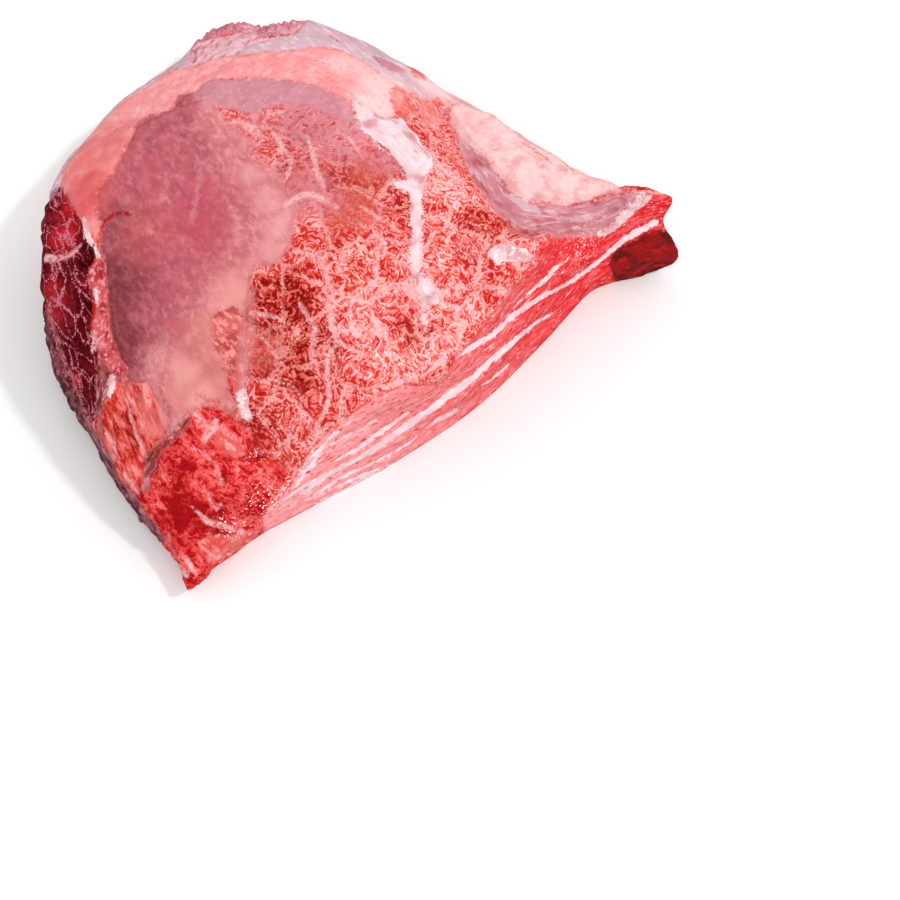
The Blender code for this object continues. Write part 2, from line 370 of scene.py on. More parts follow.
# Closed outlines, and how ragged they are; True where they are measured in the picture's plane.
PATCHES = (
    Patch(Region.SKIN, (
        (196, 92), (179, 96), (172, 108), (161, 113), (149, 116), (137, 124), (130, 137), (124, 148),
        (119, 159), (113, 172), (106, 180), (96, 187), (94, 200), (97, 214), (101, 228), (99, 240),
        (103, 258), (106, 284), (108, 310), (112, 338), (119, 356), (128, 372), (124, 388), (136, 380),
        (148, 384), (156, 396), (163, 414), (166, 434), (172, 431), (180, 420), (190, 409), (203, 404),
        (216, 404), (231, 414), (240, 404), (243, 386), (244, 366), (246, 344), (246, 326), (245, 312),
        (246, 302), (247, 292), (248, 276), (255, 264), (276, 261), (288, 246), (291, 226), (289, 199),
        (272, 178), (251, 162), (226, 134), (207, 109),
    ), 0.7),
    Patch(Region.BLUSH, (
        (214, 90), (260, 150), (300, 190), (310, 250), (280, 290), (250, 330), (244, 380), (246, 430),
        (160, 450), (138, 396), (142, 368), (158, 338), (186, 314), (206, 290), (222, 262), (234, 234),
        (230, 200), (216, 170), (206, 140), (200, 112),
    ), 1.2),
    Patch(Region.STAIN_AND_SHADE, (
        (209, 330), (212, 317), (220, 309), (232, 306), (241, 314), (243, 328), (238, 342), (237, 356),
        (240, 374), (237, 394), (231, 398), (229, 384), (226, 366), (221, 352), (214, 344),
    ), 1.0),
    Patch(Region.STAIN_AND_SHADE, ((134, 382), (143, 380), (147, 392), (144, 404), (138, 402), (134, 392)), 0.8),
    Patch(Region.FOLDS, (
        (128, 372), (136, 380), (150, 382), (166, 400), (170, 432), (148, 452), (140, 494), (112, 476),
        (92, 440), (98, 410), (108, 384),
    ), 0.8),
    Patch(Region.LENS, (
        (192, 95), (200, 86), (210, 81), (230, 79), (251, 78), (290, 79), (320, 87), (342, 97),
        (349, 106), (353, 120), (340, 118), (322, 110), (302, 104), (272, 105), (251, 114), (232, 109),
        (205, 107),
    ), 0.9),
    Patch(Region.LENS, ((370, 54), (385, 60), (405, 70), (400, 74), (388, 69), (377, 61))),
    Patch(Region.SALMON, (
        (61, 184), (63, 172), (78, 148), (97, 124), (118, 105), (140, 90), (165, 73), (190, 68),
        (215, 58), (240, 53), (270, 52), (290, 51), (308, 47), (330, 47), (345, 52), (360, 59), (378, 72),
        (396, 84), (412, 92), (400, 104), (392, 116), (381, 118), (366, 110), (352, 100), (342, 97),
        (320, 87), (290, 79), (251, 78), (230, 79), (210, 81), (200, 86), (192, 95), (177, 99),
        (172, 110), (161, 115), (149, 118), (137, 126), (124, 150), (113, 174), (98, 188), (95, 205),
        (101, 232), (95, 238), (90, 232), (82, 222), (73, 207), (67, 197),
    )),
    Patch(Region.CREAM, (
        (440, 98), (446, 108), (452, 122), (461, 136), (472, 148), (484, 158), (498, 174), (511, 193),
        (524, 203), (532, 199), (545, 202), (560, 204), (575, 201), (597, 196), (612, 190), (640, 160),
        (690, 90), (600, 20), (500, 60), (430, 86),
    ), 0.6),
    Patch(Region.VALLEY, (
        (452, 124), (459, 150), (470, 172), (486, 197), (500, 212), (511, 228), (537, 238), (562, 235),
        (589, 235), (603, 233), (624, 219), (635, 207), (642, 192), (628, 190), (612, 191), (597, 197),
        (575, 202), (560, 205), (545, 203), (525, 203), (511, 193), (498, 174), (484, 158), (472, 148),
        (461, 136),
    ), 0.6),
    Patch(Region.FAR_SKIN, ((508, 196), (520, 198), (536, 206), (540, 214), (524, 211))),
    Patch(Region.FAR_SKIN, (
        (232, 60), (244, 44), (262, 40), (290, 34), (304, 25), (306, 0), (420, 0), (560, 60), (455, 106),
        (440, 97), (412, 92), (396, 84), (378, 72), (360, 59), (345, 52), (330, 47), (308, 47), (290, 51),
        (260, 53),
    )),
    Patch(Region.FAR_SKIN, (
        (61, 184), (63, 172), (78, 148), (97, 124), (118, 105), (140, 90), (165, 73), (190, 68),
        (191, 52), (186, 30), (150, 0), (40, 80), (0, 170), (30, 196),
    ), 0.4),
    Patch(Region.STRANDS, (
        (188, 66), (192, 46), (200, 42), (216, 37), (243, 31), (262, 37), (280, 37), (262, 42), (246, 45),
        (234, 56), (215, 60),
    )),
    Patch(Region.FAR_LOBE, (
        (190, 41), (199, 41), (216, 35), (243, 30), (260, 36), (278, 35), (290, 30), (303, 25), (306, 0),
        (250, -20), (196, -10), (176, 20),
    )),
    Patch(Region.FLAP, (
        (388, 90), (396, 86), (405, 90), (412, 98), (418, 110), (412, 118), (402, 116), (393, 110),
    ), 0.7),
    Patch(Region.FLAP, ((414, 98), (428, 98), (436, 108), (447, 121), (430, 122), (417, 112))),
    Patch(Region.FLAP, ((406, 66), (414, 66), (426, 76), (424, 81), (414, 77)), 0.6),
    Patch(Region.FLAP, (
        (198, 542), (208, 534), (226, 536), (250, 530), (262, 526), (250, 545), (228, 556), (206, 560),
    ), 0.9),
    Patch(Region.FLAP, ((136, 384), (144, 382), (148, 396), (142, 408), (136, 400)), 0.8),
    Patch(Region.FLAP, ((141, 412), (152, 406), (166, 414), (166, 430), (152, 440), (146, 430)), 0.8),
    Patch(Region.FLAP, ((210, 424), (220, 428), (238, 440), (246, 454), (232, 458), (216, 446)), 1.2),
    Patch(Region.SIDE, (
        (60, 183), (68, 195), (75, 210), (83, 223), (91, 239), (95, 252), (92, 262), (87, 277), (91, 292),
        (93, 309), (91, 326), (97, 345), (99, 370), (100, 399), (97, 416), (88, 430), (30, 480),
        (-60, 420), (-80, 280), (-30, 190), (30, 160),
    )),
    Patch(Region.TISSUE, (
        (92, 262), (99, 240), (103, 258), (106, 284), (108, 310), (112, 338), (119, 356), (128, 372),
        (120, 384), (108, 380), (100, 366), (97, 345), (91, 326), (93, 309), (91, 292), (87, 277),
    )),
    Patch(Region.GREY, (
        (190, 413), (176, 428), (162, 438), (152, 447), (146, 458), (142, 474), (140, 490), (148, 492),
        (150, 476), (154, 462), (163, 450), (175, 438), (190, 422),
    )),
    Patch(Region.GREY, (
        (99, 356), (110, 368), (114, 384), (106, 400), (101, 416), (104, 440), (97, 430), (95, 400),
    )),
    Patch(Region.LOBE, (
        (190, 412), (181, 426), (172, 434), (156, 443), (149, 452), (144, 461), (138, 480), (134, 499),
        (120, 520), (130, 600), (200, 640), (262, 540), (262, 512), (280, 488), (290, 470), (281, 465),
        (266, 452), (250, 436), (231, 416), (216, 406), (203, 406),
    )),
    Patch(Region.FLAKE, (
        (486, 253), (495, 246), (505, 243), (520, 247), (530, 252), (537, 261), (526, 262), (514, 260),
        (503, 262), (495, 265),
    ), 0.9),
    Patch(Region.FLAKE, (
        (80, 216), (86, 220), (88, 232), (96, 242), (99, 256), (95, 258), (90, 246), (84, 236),
    ), 0.9),
    Patch(Region.FLAKE, ((91, 288), (100, 288), (99, 300), (94, 308)), 0.9),
    Patch(Region.FLAKE, ((108, 376), (115, 374), (116, 384), (111, 398), (107, 396)), 0.7),
    Patch(Region.FLAKE, ((236, 392), (243, 388), (248, 402), (250, 420), (243, 420)), 0.9),
    Patch(Region.FLAKE, ((302, 464), (313, 452), (321, 454), (314, 468), (300, 476)), 1.0),
    Patch(Region.VEIN, (
        (346, 91), (353, 98), (366, 108), (381, 116), (401, 118), (409, 128), (417, 135), (424, 147),
        (433, 157), (434, 167), (427, 173), (424, 186), (423, 198), (422, 217), (422, 242), (420, 271),
        (431, 283), (442, 296), (438, 303), (427, 301), (428, 319), (424, 331), (421, 318), (422, 305),
        (417, 292), (414, 278), (408, 266), (405, 254), (411, 242), (409, 217), (411, 205), (410, 194),
        (398, 189), (391, 181), (404, 178), (404, 173), (397, 162), (383, 148), (371, 138), (360, 128),
        (354, 111),
    ), 0.6),
    # The lobe under the right tip: its own deep red, darkened further as painted shade from the overhanging
    # tip.
    Patch(Region.DARK, (
        (612, 276), (607, 262), (613, 252), (623, 245), (640, 236), (655, 228), (668, 231), (700, 236),
        (700, 300), (620, 300),
    ), 0.3, True),
    Patch(Region.CUT, (
        (644, 190), (637, 207), (626, 219), (605, 233), (589, 236), (562, 236), (543, 240), (532, 262),
        (527, 271), (510, 294), (492, 314), (478, 331), (459, 354), (449, 370), (441, 386), (430, 384),
        (407, 384), (391, 391), (374, 396), (361, 406), (342, 421), (324, 437), (308, 452), (297, 474),
        (284, 492), (264, 512), (262, 560), (420, 560), (700, 420), (740, 180), (680, 160),
    ), 0.6, True),
)

# Paths, and their widths at the start, middle and end. These are laid over the surface.
LAID_PATHS = {
    Region.HEM: (
        (((200, 96), (217, 114), (242, 144), (266, 168), (292, 203)), (8, 12, 8)),
        (((290, 203), (291, 226), (286, 246), (268, 262), (250, 272)), (3, 4, 5)),
        (((250, 290), (250, 320), (247, 350), (246, 384)), (7, 9, 6)),
        (((160, 404), (165, 420), (167, 433)), (7, 6, 2)),
    ),
    # Stains are the meat's own darker red; the streak below the cream fat's lumps and the crease by the
    # flap are painted shade.
    Region.STAIN_AND_SHADE: (
        (((160, 388), (166, 404), (168, 428)), (2, 4, 2)),
        (((196, 396), (206, 398), (220, 404), (232, 414)), (3, 5, 3)),
        (((494, 208), (503, 222), (520, 231), (545, 236)), (5, 9, 5)),
        (((508, 214), (524, 224), (548, 229)), (1, 2.5, 1)),
        (((476, 176), (488, 194), (500, 208)), (1, 2.5, 1)),
        (((598, 198), (612, 193), (628, 190)), (3, 5, 3)),
        (((524, 146), (540, 158), (552, 168)), (1, 3, 1)),
        (((556, 160), (566, 166), (572, 176)), (1, 3, 1)),
        (((412, 119), (424, 126), (438, 129), (446, 122), (450, 107)), (2, 4, 2)),
    ),
    Region.NET: (
        (((200, 160), (199, 180), (196, 200), (192, 220)), (5, 7, 3)),
        (((150, 205), (162, 198), (172, 202)), (3, 6, 2)),
        (((140, 225), (150, 230), (160, 236), (172, 233)), (3, 2, 1)),
        (((180, 236), (192, 250), (204, 262), (212, 280)), (1, 2, 1)),
        (((150, 176), (168, 172), (182, 178)), (2, 3, 1)),
        (((224, 196), (236, 220), (240, 250)), (3, 8, 3)),
    ),
    Region.PALE: (
        (((294, 250), (317, 255), (326, 273), (331, 289)), (5.1, 6.8, 5.1)),
        (((319, 296), (329, 307), (331, 326), (338, 342), (363, 356)), (5.1, 6.8, 3.4)),
        (((338, 342), (331, 349), (326, 362), (327, 379), (329, 397), (322, 415), (314, 431)), (4, 5.5, 5)),
        (((299, 303), (308, 317), (315, 328), (310, 356), (319, 372)), (3.4, 5.1, 3.4)),
        (((250, 312), (276, 317), (287, 323), (299, 335)), (5.1, 3.4, 2.5)),
        (((258, 334), (269, 344), (278, 358), (285, 369)), (2.5, 5.1, 1.8)),
        (((269, 379), (292, 385), (301, 397), (299, 415), (290, 431), (286, 450)), (2, 4, 4)),
        (((273, 133), (283, 148), (292, 163), (285, 179)), (5.1, 5.1, 3.4)),
        (((306, 133), (311, 150), (317, 171), (323, 186)), (3.4, 5.1, 5.1)),
        (((338, 131), (352, 142), (363, 158)), (3.4, 3.4, 1.8)),
        (((286, 202), (300, 196), (312, 193), (322, 198), (336, 206)), (6.8, 6.8, 3.4)),
        (((359, 206), (374, 214), (392, 226), (405, 236)), (2.5, 3.4, 3.4)),
        (((352, 186), (368, 196), (384, 206)), (2.5, 3.4, 1.8)),
        (((434, 158), (447, 166), (456, 177), (468, 188)), (5.1, 5.1, 1.8)),
        (((479, 196), (490, 206), (498, 213), (506, 219)), (3.4, 8.5, 3.4)),
        (((240, 122), (252, 128), (262, 136)), (5.1, 10, 5.1)),
        (((396, 86), (407, 91), (415, 101), (419, 111), (411, 119), (402, 117)), (1.8, 3.4, 1.8)),
        (((430, 92), (430, 103), (437, 113), (446, 116)), (1.8, 3.4, 1.8)),
        (((128, 409), (133, 424), (140, 442), (145, 456)), (3.4, 8.5, 3.4)),
        (((106, 434), (113, 446), (118, 458)), (8.5, 10, 3.4)),
        (((124, 474), (130, 482), (137, 492)), (8.5, 10, 6.8)),
        (((191, 507), (200, 514), (207, 522), (216, 524), (230, 528), (245, 532)), (1.8, 8.5, 3.4)),
        (((208, 493), (210, 504), (217, 511), (221, 504)), (2.5, 3.4, 2.5)),
        (((179, 566), (186, 574)), (8.5, 10, 8.5)),
        (((46, 258), (55, 258), (66, 255), (75, 248), (80, 244)), (10, 6.8, 2.5)),
        # This pale line along the tear's edge is a painted highlight.
        (((326, 31), (334, 35), (340, 40), (345, 44)), (1.8, 4, 1.8)),
        (((193, 411), (205, 422), (220, 428), (236, 440)), (3.4, 5.1, 3.4)),
        (((204, 440), (210, 430), (216, 420)), (6.8, 10, 6.8)),
        (((184, 444), (200, 452), (216, 466), (222, 484)), (2.5, 4.2, 3.4)),
        (((93, 332), (94, 342), (91, 352)), (5.1, 8.5, 3.4)),
        (((184, 556), (190, 566), (196, 574)), (5, 8, 4)),
    ),
    Region.FLAKE: (
        (((643, 191), (638, 202), (628, 213), (618, 222), (608, 231), (598, 234)), (6, 12, 5)),
        (((517, 197), (524, 200), (532, 197)), (1, 3, 1)),
        (((562, 204), (569, 203), (574, 201)), (1, 3, 1)),
    ),
    # Slits and creases are coloured dark red as painted shade in them; the path under the cream fat is a
    # painted shadow line below its lumps.
    Region.SHADED_SLIT: (
        (((100, 232), (104, 222), (112, 215), (122, 212), (137, 217)), (3.4, 5, 1.6)),
        (((287, 374), (295, 382), (302, 388)), (1, 4, 5)),
        (((250, 430), (258, 443), (268, 456), (281, 467)), (2, 1.5, 1)),
        (((148, 476), (152, 460), (160, 447), (172, 436), (186, 424)), (1, 2, 1)),
        (((118, 388), (108, 402), (102, 412), (101, 430)), (3, 2, 1)),
        (((94, 240), (93, 258), (88, 272)), (2, 3, 2)),
        (((90, 285), (94, 300), (92, 318), (89, 328)), (3, 5, 3)),
        (((100, 268), (102, 280), (103, 294)), (1, 2.5, 1)),
        (((105, 308), (107, 320), (108, 334)), (1, 2, 1)),
        (((121, 352), (125, 362), (128, 369)), (1, 2, 1)),
        (((376, 141), (388, 151), (398, 164), (406, 174)), (0.6, 1.2, 0.6)),
        (((404, 318), (411, 330), (418, 343)), (3, 6, 3)),
        (((433, 318), (430, 332), (427, 348)), (2, 3, 2)),
        (((408, 352), (411, 360), (412, 372)), (2, 3, 2)),
        (((550, 208), (573, 204), (598, 198), (612, 193)), (1, 1.6, 1)),
        (((229, 380), (232, 392), (234, 400)), (1, 3, 1)),
        (((329, 34), (337, 41), (344, 46)), (0.5, 1.5, 0.5)),
        (((372, 56), (382, 66), (396, 74)), (0.5, 1.2, 0.5)),
    ),
}
# These are measured in the picture's plane.
SEEN_PATHS = {
    Region.SEAM: (
        (((284, 500), (306, 487), (330, 473), (352, 462)), (1.5, 4, 1.5)),
        (((302, 503), (330, 491), (362, 477), (392, 463)), (1, 2.5, 1)),
        (((330, 446), (352, 434), (378, 420)), (1, 2.5, 1)),
        (((571, 257), (556, 268), (546, 279), (528, 294), (512, 309)), (2, 4, 1)),
        ((
            (656, 223), (640, 230), (622, 241), (604, 256), (588, 269), (574, 280), (560, 288),
            (544, 296), (526, 307), (508, 321), (491, 337), (475, 346), (457, 357),
        ), (6, 3.5, 6)),
        ((
            (553, 313), (540, 320), (528, 330), (517, 338), (496, 357), (475, 377), (452, 394),
            (430, 410), (407, 426), (384, 442), (361, 457), (338, 470), (319, 483), (300, 494),
        ), (2, 7.5, 3)),
        (((409, 411), (395, 422), (375, 437), (358, 450), (347, 455), (330, 464)), (2, 4.5, 1)),
        (((511, 365), (500, 374), (494, 379), (482, 386)), (2, 3, 2)),
        (((456, 410), (439, 421), (427, 430)), (2, 4, 2)),
        (((418, 436), (391, 456), (361, 469), (338, 481), (303, 502)), (1, 3, 2)),
        (((380, 470), (350, 486), (316, 504)), (1, 2.5, 1)),
        (((352, 420), (334, 436), (320, 450), (306, 470), (296, 486)), (1, 3.5, 2)),
    ),
    # The underside's membrane showing along the lower-left edge, coloured grey-mauve: its own colour
    # darkened with painted shade beneath the meat.
    Region.SHADED_FOOT: (
        ((
            (30, 270), (34, 289), (44, 332), (57, 377), (70, 404), (87, 431), (102, 458), (116, 484),
            (131, 501), (144, 519), (156, 533), (164, 560), (176, 586),
        ), (4, 15, 3)),
    ),
    Region.NET: (
        ((
            (45, 306), (52, 328), (59, 353), (63, 366), (73, 386), (88, 424), (100, 448), (114, 470),
            (126, 487), (140, 507), (152, 523), (166, 541), (178, 558),
        ), (2, 2.5, 2)),
    ),
}
STREAKS = tuple(
    Streak(region, path, widths, paths is SEEN_PATHS)
    for paths in (LAID_PATHS, SEEN_PATHS)
    for region, rows in paths.items()
    for path, widths in rows
)

# Each spot's middle, its reach and, below the full tint, its share.
SPOTS = {
    Tint.BROWN: (
        (288, 350, 80, 1.2), (280, 300, 56, 1.2), (250, 330, 50), (262, 415, 56, 0.6),
        (124, 424, 44, 0.8), (300, 130, 60, 0.7), (340, 175, 60, 0.8), (480, 225, 40, 0.7),
        (410, 335, 30, 0.8), (130, 440, 34, 0.8), (375, 170, 44, 0.7), (395, 205, 30, 0.6),
        (300, 170, 50, 0.7), (350, 250, 40, 0.3), (512, 226, 26, 0.9), (470, 250, 26, 0.5),
    ),
    Tint.LIGHT: (
        (368, 312, 40, 0.5), (356, 262, 46, 0.7), (465, 225, 44, 0.7), (440, 280, 44, 0.8),
        (455, 330, 62), (515, 285, 36, 0.9), (440, 352, 50), (448, 176, 60), (400, 362, 50),
        (440, 140, 26, 0.5),
    ),
    # Pits and hollows: the flesh is coloured darker there as painted shade, and sunk in the relief.
    Tint.SHADED_PIT: (
        (299, 388, 15), (186, 514, 44), (212, 522, 30, 0.8), (168, 504, 26, 0.7), (150, 462, 20, 0.7),
        (120, 462, 20, 0.5), (258, 444, 20, 0.4), (86, 256, 17, 0.9), (90, 306, 14, 0.9),
        (410, 332, 13, 0.7),
    ),
    Tint.RED: (
        (232, 322, 26, 0.9), (141, 394, 17, 0.9), (155, 418, 18), (150, 232, 60, 0.35),
        (250, 146, 20, 0.6), (228, 112, 22, 0.8), (84, 195, 64), (116, 130, 7), (100, 150, 80, 0.6),
        (74, 176, 40, 0.6), (64, 236, 38, 0.8), (50, 300, 40, 0.5), (74, 380, 20, 0.7),
    ),
    Tint.ROSE: (
        (205, 215, 76, 0.75), (150, 175, 40, 0.4), (178, 330, 24, 0.8), (190, 352, 22, 0.7),
        (206, 374, 20, 0.6), (222, 392, 16, 0.5),
    ),
    # The skin's left flank, turned from the light, is coloured darker: painted shade.
    Tint.SHADED_FLANK: (
        (110, 290, 84), (120, 345, 66), (112, 230, 50, 0.6), (150, 350, 46, 0.5),
    ),
    Tint.PEACH: (
        (205, 340, 60, 0.7), (196, 390, 64), (232, 290, 50, 0.6),
    ),
    Tint.MILKY: (
        (184, 372, 30, 0.6), (200, 396, 28, 0.6), (192, 100, 24, 0.4), (156, 352, 20, 0.4),
        (226, 298, 34, 0.45), (274, 198, 30, 0.5), (286, 226, 30, 0.7), (272, 252, 26, 0.4),
        (256, 168, 24, 0.5), (385, 88, 60), (350, 66, 44, 0.5), (376, 106, 40), (436, 84, 76),
        (460, 100, 50),
    ),
    Tint.GLINT: (
        (266, 502, 44), (232, 526, 28), (300, 468, 26), (586, 246, 40, 0.9), (256, 458, 20, 0.8),
        (432, 300, 26, 0.6),
    ),
    Tint.PLAIN: (
        (300, 184, 34, 0.5), (350, 208, 40, 0.75), (368, 168, 36, 0.65), (330, 160, 26, 0.4),
        (262, 350, 36, 0.5),
    ),
    Tint.HAZE: (
        (278, 172, 24, 0.6), (250, 124, 30, 0.5), (300, 122, 56, 0.8), (340, 134, 60, 0.9),
        (250, 130, 40, 0.7), (300, 165, 50, 0.4), (310, 190, 44, 0.7), (385, 160, 34, 0.6),
    ),
}
BLOTS = tuple(Blot(tint, (x, y), *rest) for tint, rows in SPOTS.items() for x, y, *rest in rows)


class NodeSheet:
    """A node tree that is being filled in, with short calls for what the finishes are made of."""

    def __init__(self, tree: bpy.types.NodeTree) -> None:
        """Starts on a tree."""
        self.tree = tree

    @classmethod
    def group(
        cls, title: str, takes: dict[str, tuple[str, ...]], gives: dict[str, str]
    ) -> tuple["NodeSheet", bpy.types.NodeOutputs, bpy.types.NodeInputs]:
        """Starts a shader node group.

        Args:
            title: The group's name.
            takes: The names of its inputs by their socket type.
            gives: The socket types of its outputs by name.

        Returns:
            The sheet, what the group is given and what it puts out.
        """
        tree = bpy.data.node_groups.new(title, "ShaderNodeTree")
        for kind, names in takes.items():
            for name in names:
                tree.interface.new_socket(name, in_out="INPUT", socket_type=kind)
        for name, kind in gives.items():
            tree.interface.new_socket(name, in_out="OUTPUT", socket_type=kind)
        sheet = cls(tree)
        return sheet, sheet.add("NodeGroupInput").outputs, sheet.add("NodeGroupOutput").inputs

    def add(self, kind: str, **settings: object) -> bpy.types.Node:
        """Adds a node.

        Args:
            kind: The node's type.
            settings: Properties to set on it.

        Returns:
            The node.
        """
        node = self.tree.nodes.new(kind)
        for name, value in settings.items():
            setattr(node, name, value)
        return node

    def feed(self, socket: bpy.types.NodeSocket, source: object) -> None:
        """Links a socket to another, or sets its value.

        Args:
            socket: The input.
            source: An output socket or a plain value.
        """
        if isinstance(source, bpy.types.NodeSocket):
            self.tree.links.new(source, socket)
        else:
            socket.default_value = source

    def math(self, operation: str, *values: object, clamp: bool = False) -> bpy.types.NodeSocket:
        """Adds a Math node.

        Args:
            operation: What it does.
            values: Its inputs.
            clamp: Whether its result stays from 0 to 1.

        Returns:
            Its result.
        """
        node = self.add("ShaderNodeMath", operation=operation, use_clamp=clamp)
        for socket, value in zip(node.inputs, values):
            self.feed(socket, value)
        return node.outputs[0]

    def plus(self, first: object, second: object) -> bpy.types.NodeSocket:
        """Adds the sum of two numbers."""
        return self.math("ADD", first, second)

    def times(self, first: object, second: object) -> bpy.types.NodeSocket:
        """Adds the product of two numbers."""
        return self.math("MULTIPLY", first, second)

    def line(self, value: object, slope: object, start: object) -> bpy.types.NodeSocket:
        """Adds a number times a slope, plus a start."""
        return self.math("MULTIPLY_ADD", value, slope, start)

    def vector(self, operation: str, first: object, second: object) -> bpy.types.NodeSocket:
        """Adds a Vector Math node.

        Args:
            operation: What it does.
            first: Its first vector.
            second: Its second vector, or the number that SCALE takes.

        Returns:
            Its result.
        """
        node = self.add("ShaderNodeVectorMath", operation=operation)
        self.feed(node.inputs[0], first)
        self.feed(node.inputs["Scale" if operation == "SCALE" else 1], second)
        return node.outputs[0]

    def dot(self, first: object, second: object) -> bpy.types.NodeSocket:
        """Adds the dot product of two vectors.

        Args:
            first: Its first vector.
            second: Its second vector.

        Returns:
            The product.
        """
        node = self.add("ShaderNodeVectorMath", operation="DOT_PRODUCT")
        self.feed(node.inputs[0], first)
        self.feed(node.inputs[1], second)
        return node.outputs["Value"]

    def step(self, value: object, low: object, high: object) -> bpy.types.NodeSocket:
        """Adds a smooth rise from 0 to 1.

        Args:
            value: What it reads.
            low: Where the rise starts.
            high: Where the rise ends.

        Returns:
            The share.
        """
        node = self.add("ShaderNodeMapRange", interpolation_type="SMOOTHSTEP")
        for name, source in (("Value", value), ("From Min", low), ("From Max", high)):
            self.feed(node.inputs[name], source)
        return node.outputs["Result"]

    def fall(self, value: object, low: object, high: object) -> bpy.types.NodeSocket:
        """Adds a smooth fall from 1 to 0, as step does a rise."""
        return self.math("SUBTRACT", 1.0, self.step(value, low, high))

    def mix(self, share: object, low: object, high: object) -> bpy.types.NodeSocket:
        """Adds a mix of two colours.

        Args:
            share: 0 for the first colour, 1 for the second.
            low: The first colour.
            high: The second colour.

        Returns:
            The mixed colour.
        """
        node = self.add("ShaderNodeMix", data_type="RGBA", clamp_factor=True)
        for socket, source in zip((node.inputs[0], node.inputs[6], node.inputs[7]), (share, low, high)):
            self.feed(socket, source)
        return node.outputs[2]

    def blend(self, share: object, low: object, high: object) -> bpy.types.NodeSocket:
        """Adds a mix of two numbers.

        Args:
            share: 0 for the first number, 1 for the second.
            low: The first number.
            high: The second number.

        Returns:
            The mixed number.
        """
        node = self.add("ShaderNodeMix", data_type="FLOAT", clamp_factor=True)
        for socket, source in zip((node.inputs[0], node.inputs[2], node.inputs[3]), (share, low, high)):
            self.feed(socket, source)
        return node.outputs[0]

    def waves(
        self, place: object, length: float, detail: float = 2.0, rough: float = 0.5, bend: float = 0.0
    ) -> bpy.types.Node:
        """Adds a Noise node.

        Args:
            place: Where it is read, in millimetres or cells.
            length: The size of its waves, in the same unit.
            detail: How many finer layers it has.
            rough: How strong those are.
            bend: How far it is distorted.

        Returns:
            The node, with the outputs Fac and Color.
        """
        node = self.add("ShaderNodeTexNoise")
        self.feed(node.inputs["Vector"], place)
        node.inputs["Scale"].default_value = 1 / length
        node.inputs["Detail"].default_value = detail
        node.inputs["Roughness"].default_value = rough
        node.inputs["Distortion"].default_value = bend
        return node

    def cells(self, place: object, length: float, feature: str) -> bpy.types.Node:
        """Adds a Voronoi node.

        Args:
            place: Where it is read.
            length: The size of its cells.
            feature: F1 or DISTANCE_TO_EDGE.

        Returns:
            The node.
        """
        node = self.add("ShaderNodeTexVoronoi", feature=feature)
        self.feed(node.inputs["Vector"], place)
        node.inputs["Scale"].default_value = 1 / length
        return node

    def attribute(self, name: str) -> bpy.types.Node:
        """Adds a node that reads one of the mesh's fields."""
        return self.add("ShaderNodeAttribute", attribute_name=name)


@dataclass(frozen=True)
class Bundles:
    """Muscle bundles cut across: cells in larger groups, measured in cells."""

    drift: float = 0.75
    drift_length: float = 2.1
    drift_seeds: tuple[float, float, float] = (3.0, 23.0, 43.0)
    fine_drift: float = 0.34
    fine_length: float = 0.85
    fine_seeds: tuple[float, float, float] = (5.0, 25.0, 45.0)
    group_length: float = 4.8
    # The direction towards the side of each cell and group that is painted in shade, as if each were lit
    # from the other side.
    shaded_side: tuple[float, float, float] = (-0.5, -0.85, 0.0)
    stroke_angle: float = 40.0
    stroke_turn: float = 150.0
    stroke_squeeze: float = 0.5
    depth_squeeze: float = 0.6
    group_shift: float = 9.0

    def drifted(self, grain: np.ndarray) -> np.ndarray:
        """Bends the places in cells, so that the cells grow uneven.

        Args:
            grain: The places, one row each.

        Returns:
            The bent places.
        """
        coarse = [wander(grain, self.drift_length, seed) for seed in self.drift_seeds]
        fine = [wander(grain, self.fine_length, seed) for seed in self.fine_seeds]
        return grain + self.drift * np.stack(coarse, 1) + self.fine_drift * np.stack(fine, 1)

    def wire_walls(self, sheet: NodeSheet, grain: object, length: float = 1.0) -> object:
        """Adds the distance to the walls of cells, the same in shader and geometry trees.

        Args:
            sheet: The tree.
            grain: The place in cells.
            length: The size of the cells or groups, in cells.

        Returns:
            The distance.
        """
        return sheet.cells(grain, length, "DISTANCE_TO_EDGE").outputs["Distance"]


@dataclass(frozen=True)
class Wave:
    """Noise on the surface: its height, the length of its waves, its seed and how it is drawn out."""

    height: float
    length: float
    seed: float
    squeeze: tuple[float, float, float] = (1.0, 1.0, 1.0)

    def read(self, points: np.ndarray) -> np.ndarray:
        """Gives the wave's height at points in millimetres."""
        return self.height * wander(points * np.array(self.squeeze), self.length, self.seed)


@dataclass(frozen=True)
class Swell:
    """How far a kind of surface stands out, with the waves on it.

    Each of its regions comes with the length over which its border rises.
    """

    regions: tuple[tuple[Region, float], ...]
    rise: float = 0.0
    waves: tuple[Wave, ...] = ()


SKINS = Swell(((Region.SKIN, 2.2), (Region.LENS, 1.6)), 0.16, (Wave(0.12, 4.0, 11.0),))
FATS = Swell(((Region.SALMON, 1.5), (Region.CREAM, 1.8)), 0.3, (Wave(0.35, 6.5, 2.0), Wave(0.16, 2.8, 4.0)))
MEMBRANES = Swell(
    ((Region.VALLEY, 1.2), (Region.FAR_SKIN, 1.2)), 0.0, (Wave(0.16, 1.6, 6.0, (1.0, 0.35, 1.0)),)
)
VEIN = Swell(((Region.VEIN, 0.8),), 0.3, (Wave(0.15, 1.8, 8.0),))
COVERING = (SKINS, FATS, MEMBRANES, VEIN)
CUT_FACE = Swell(
    ((Region.CUT, 0.8),),
    -0.25,
    (Wave(0.22, 1.5, 14.0, (0.16, 1.0, 1.0)), Wave(0.4, 4.0, 15.0, (0.5, 1.0, 1.0))),
)
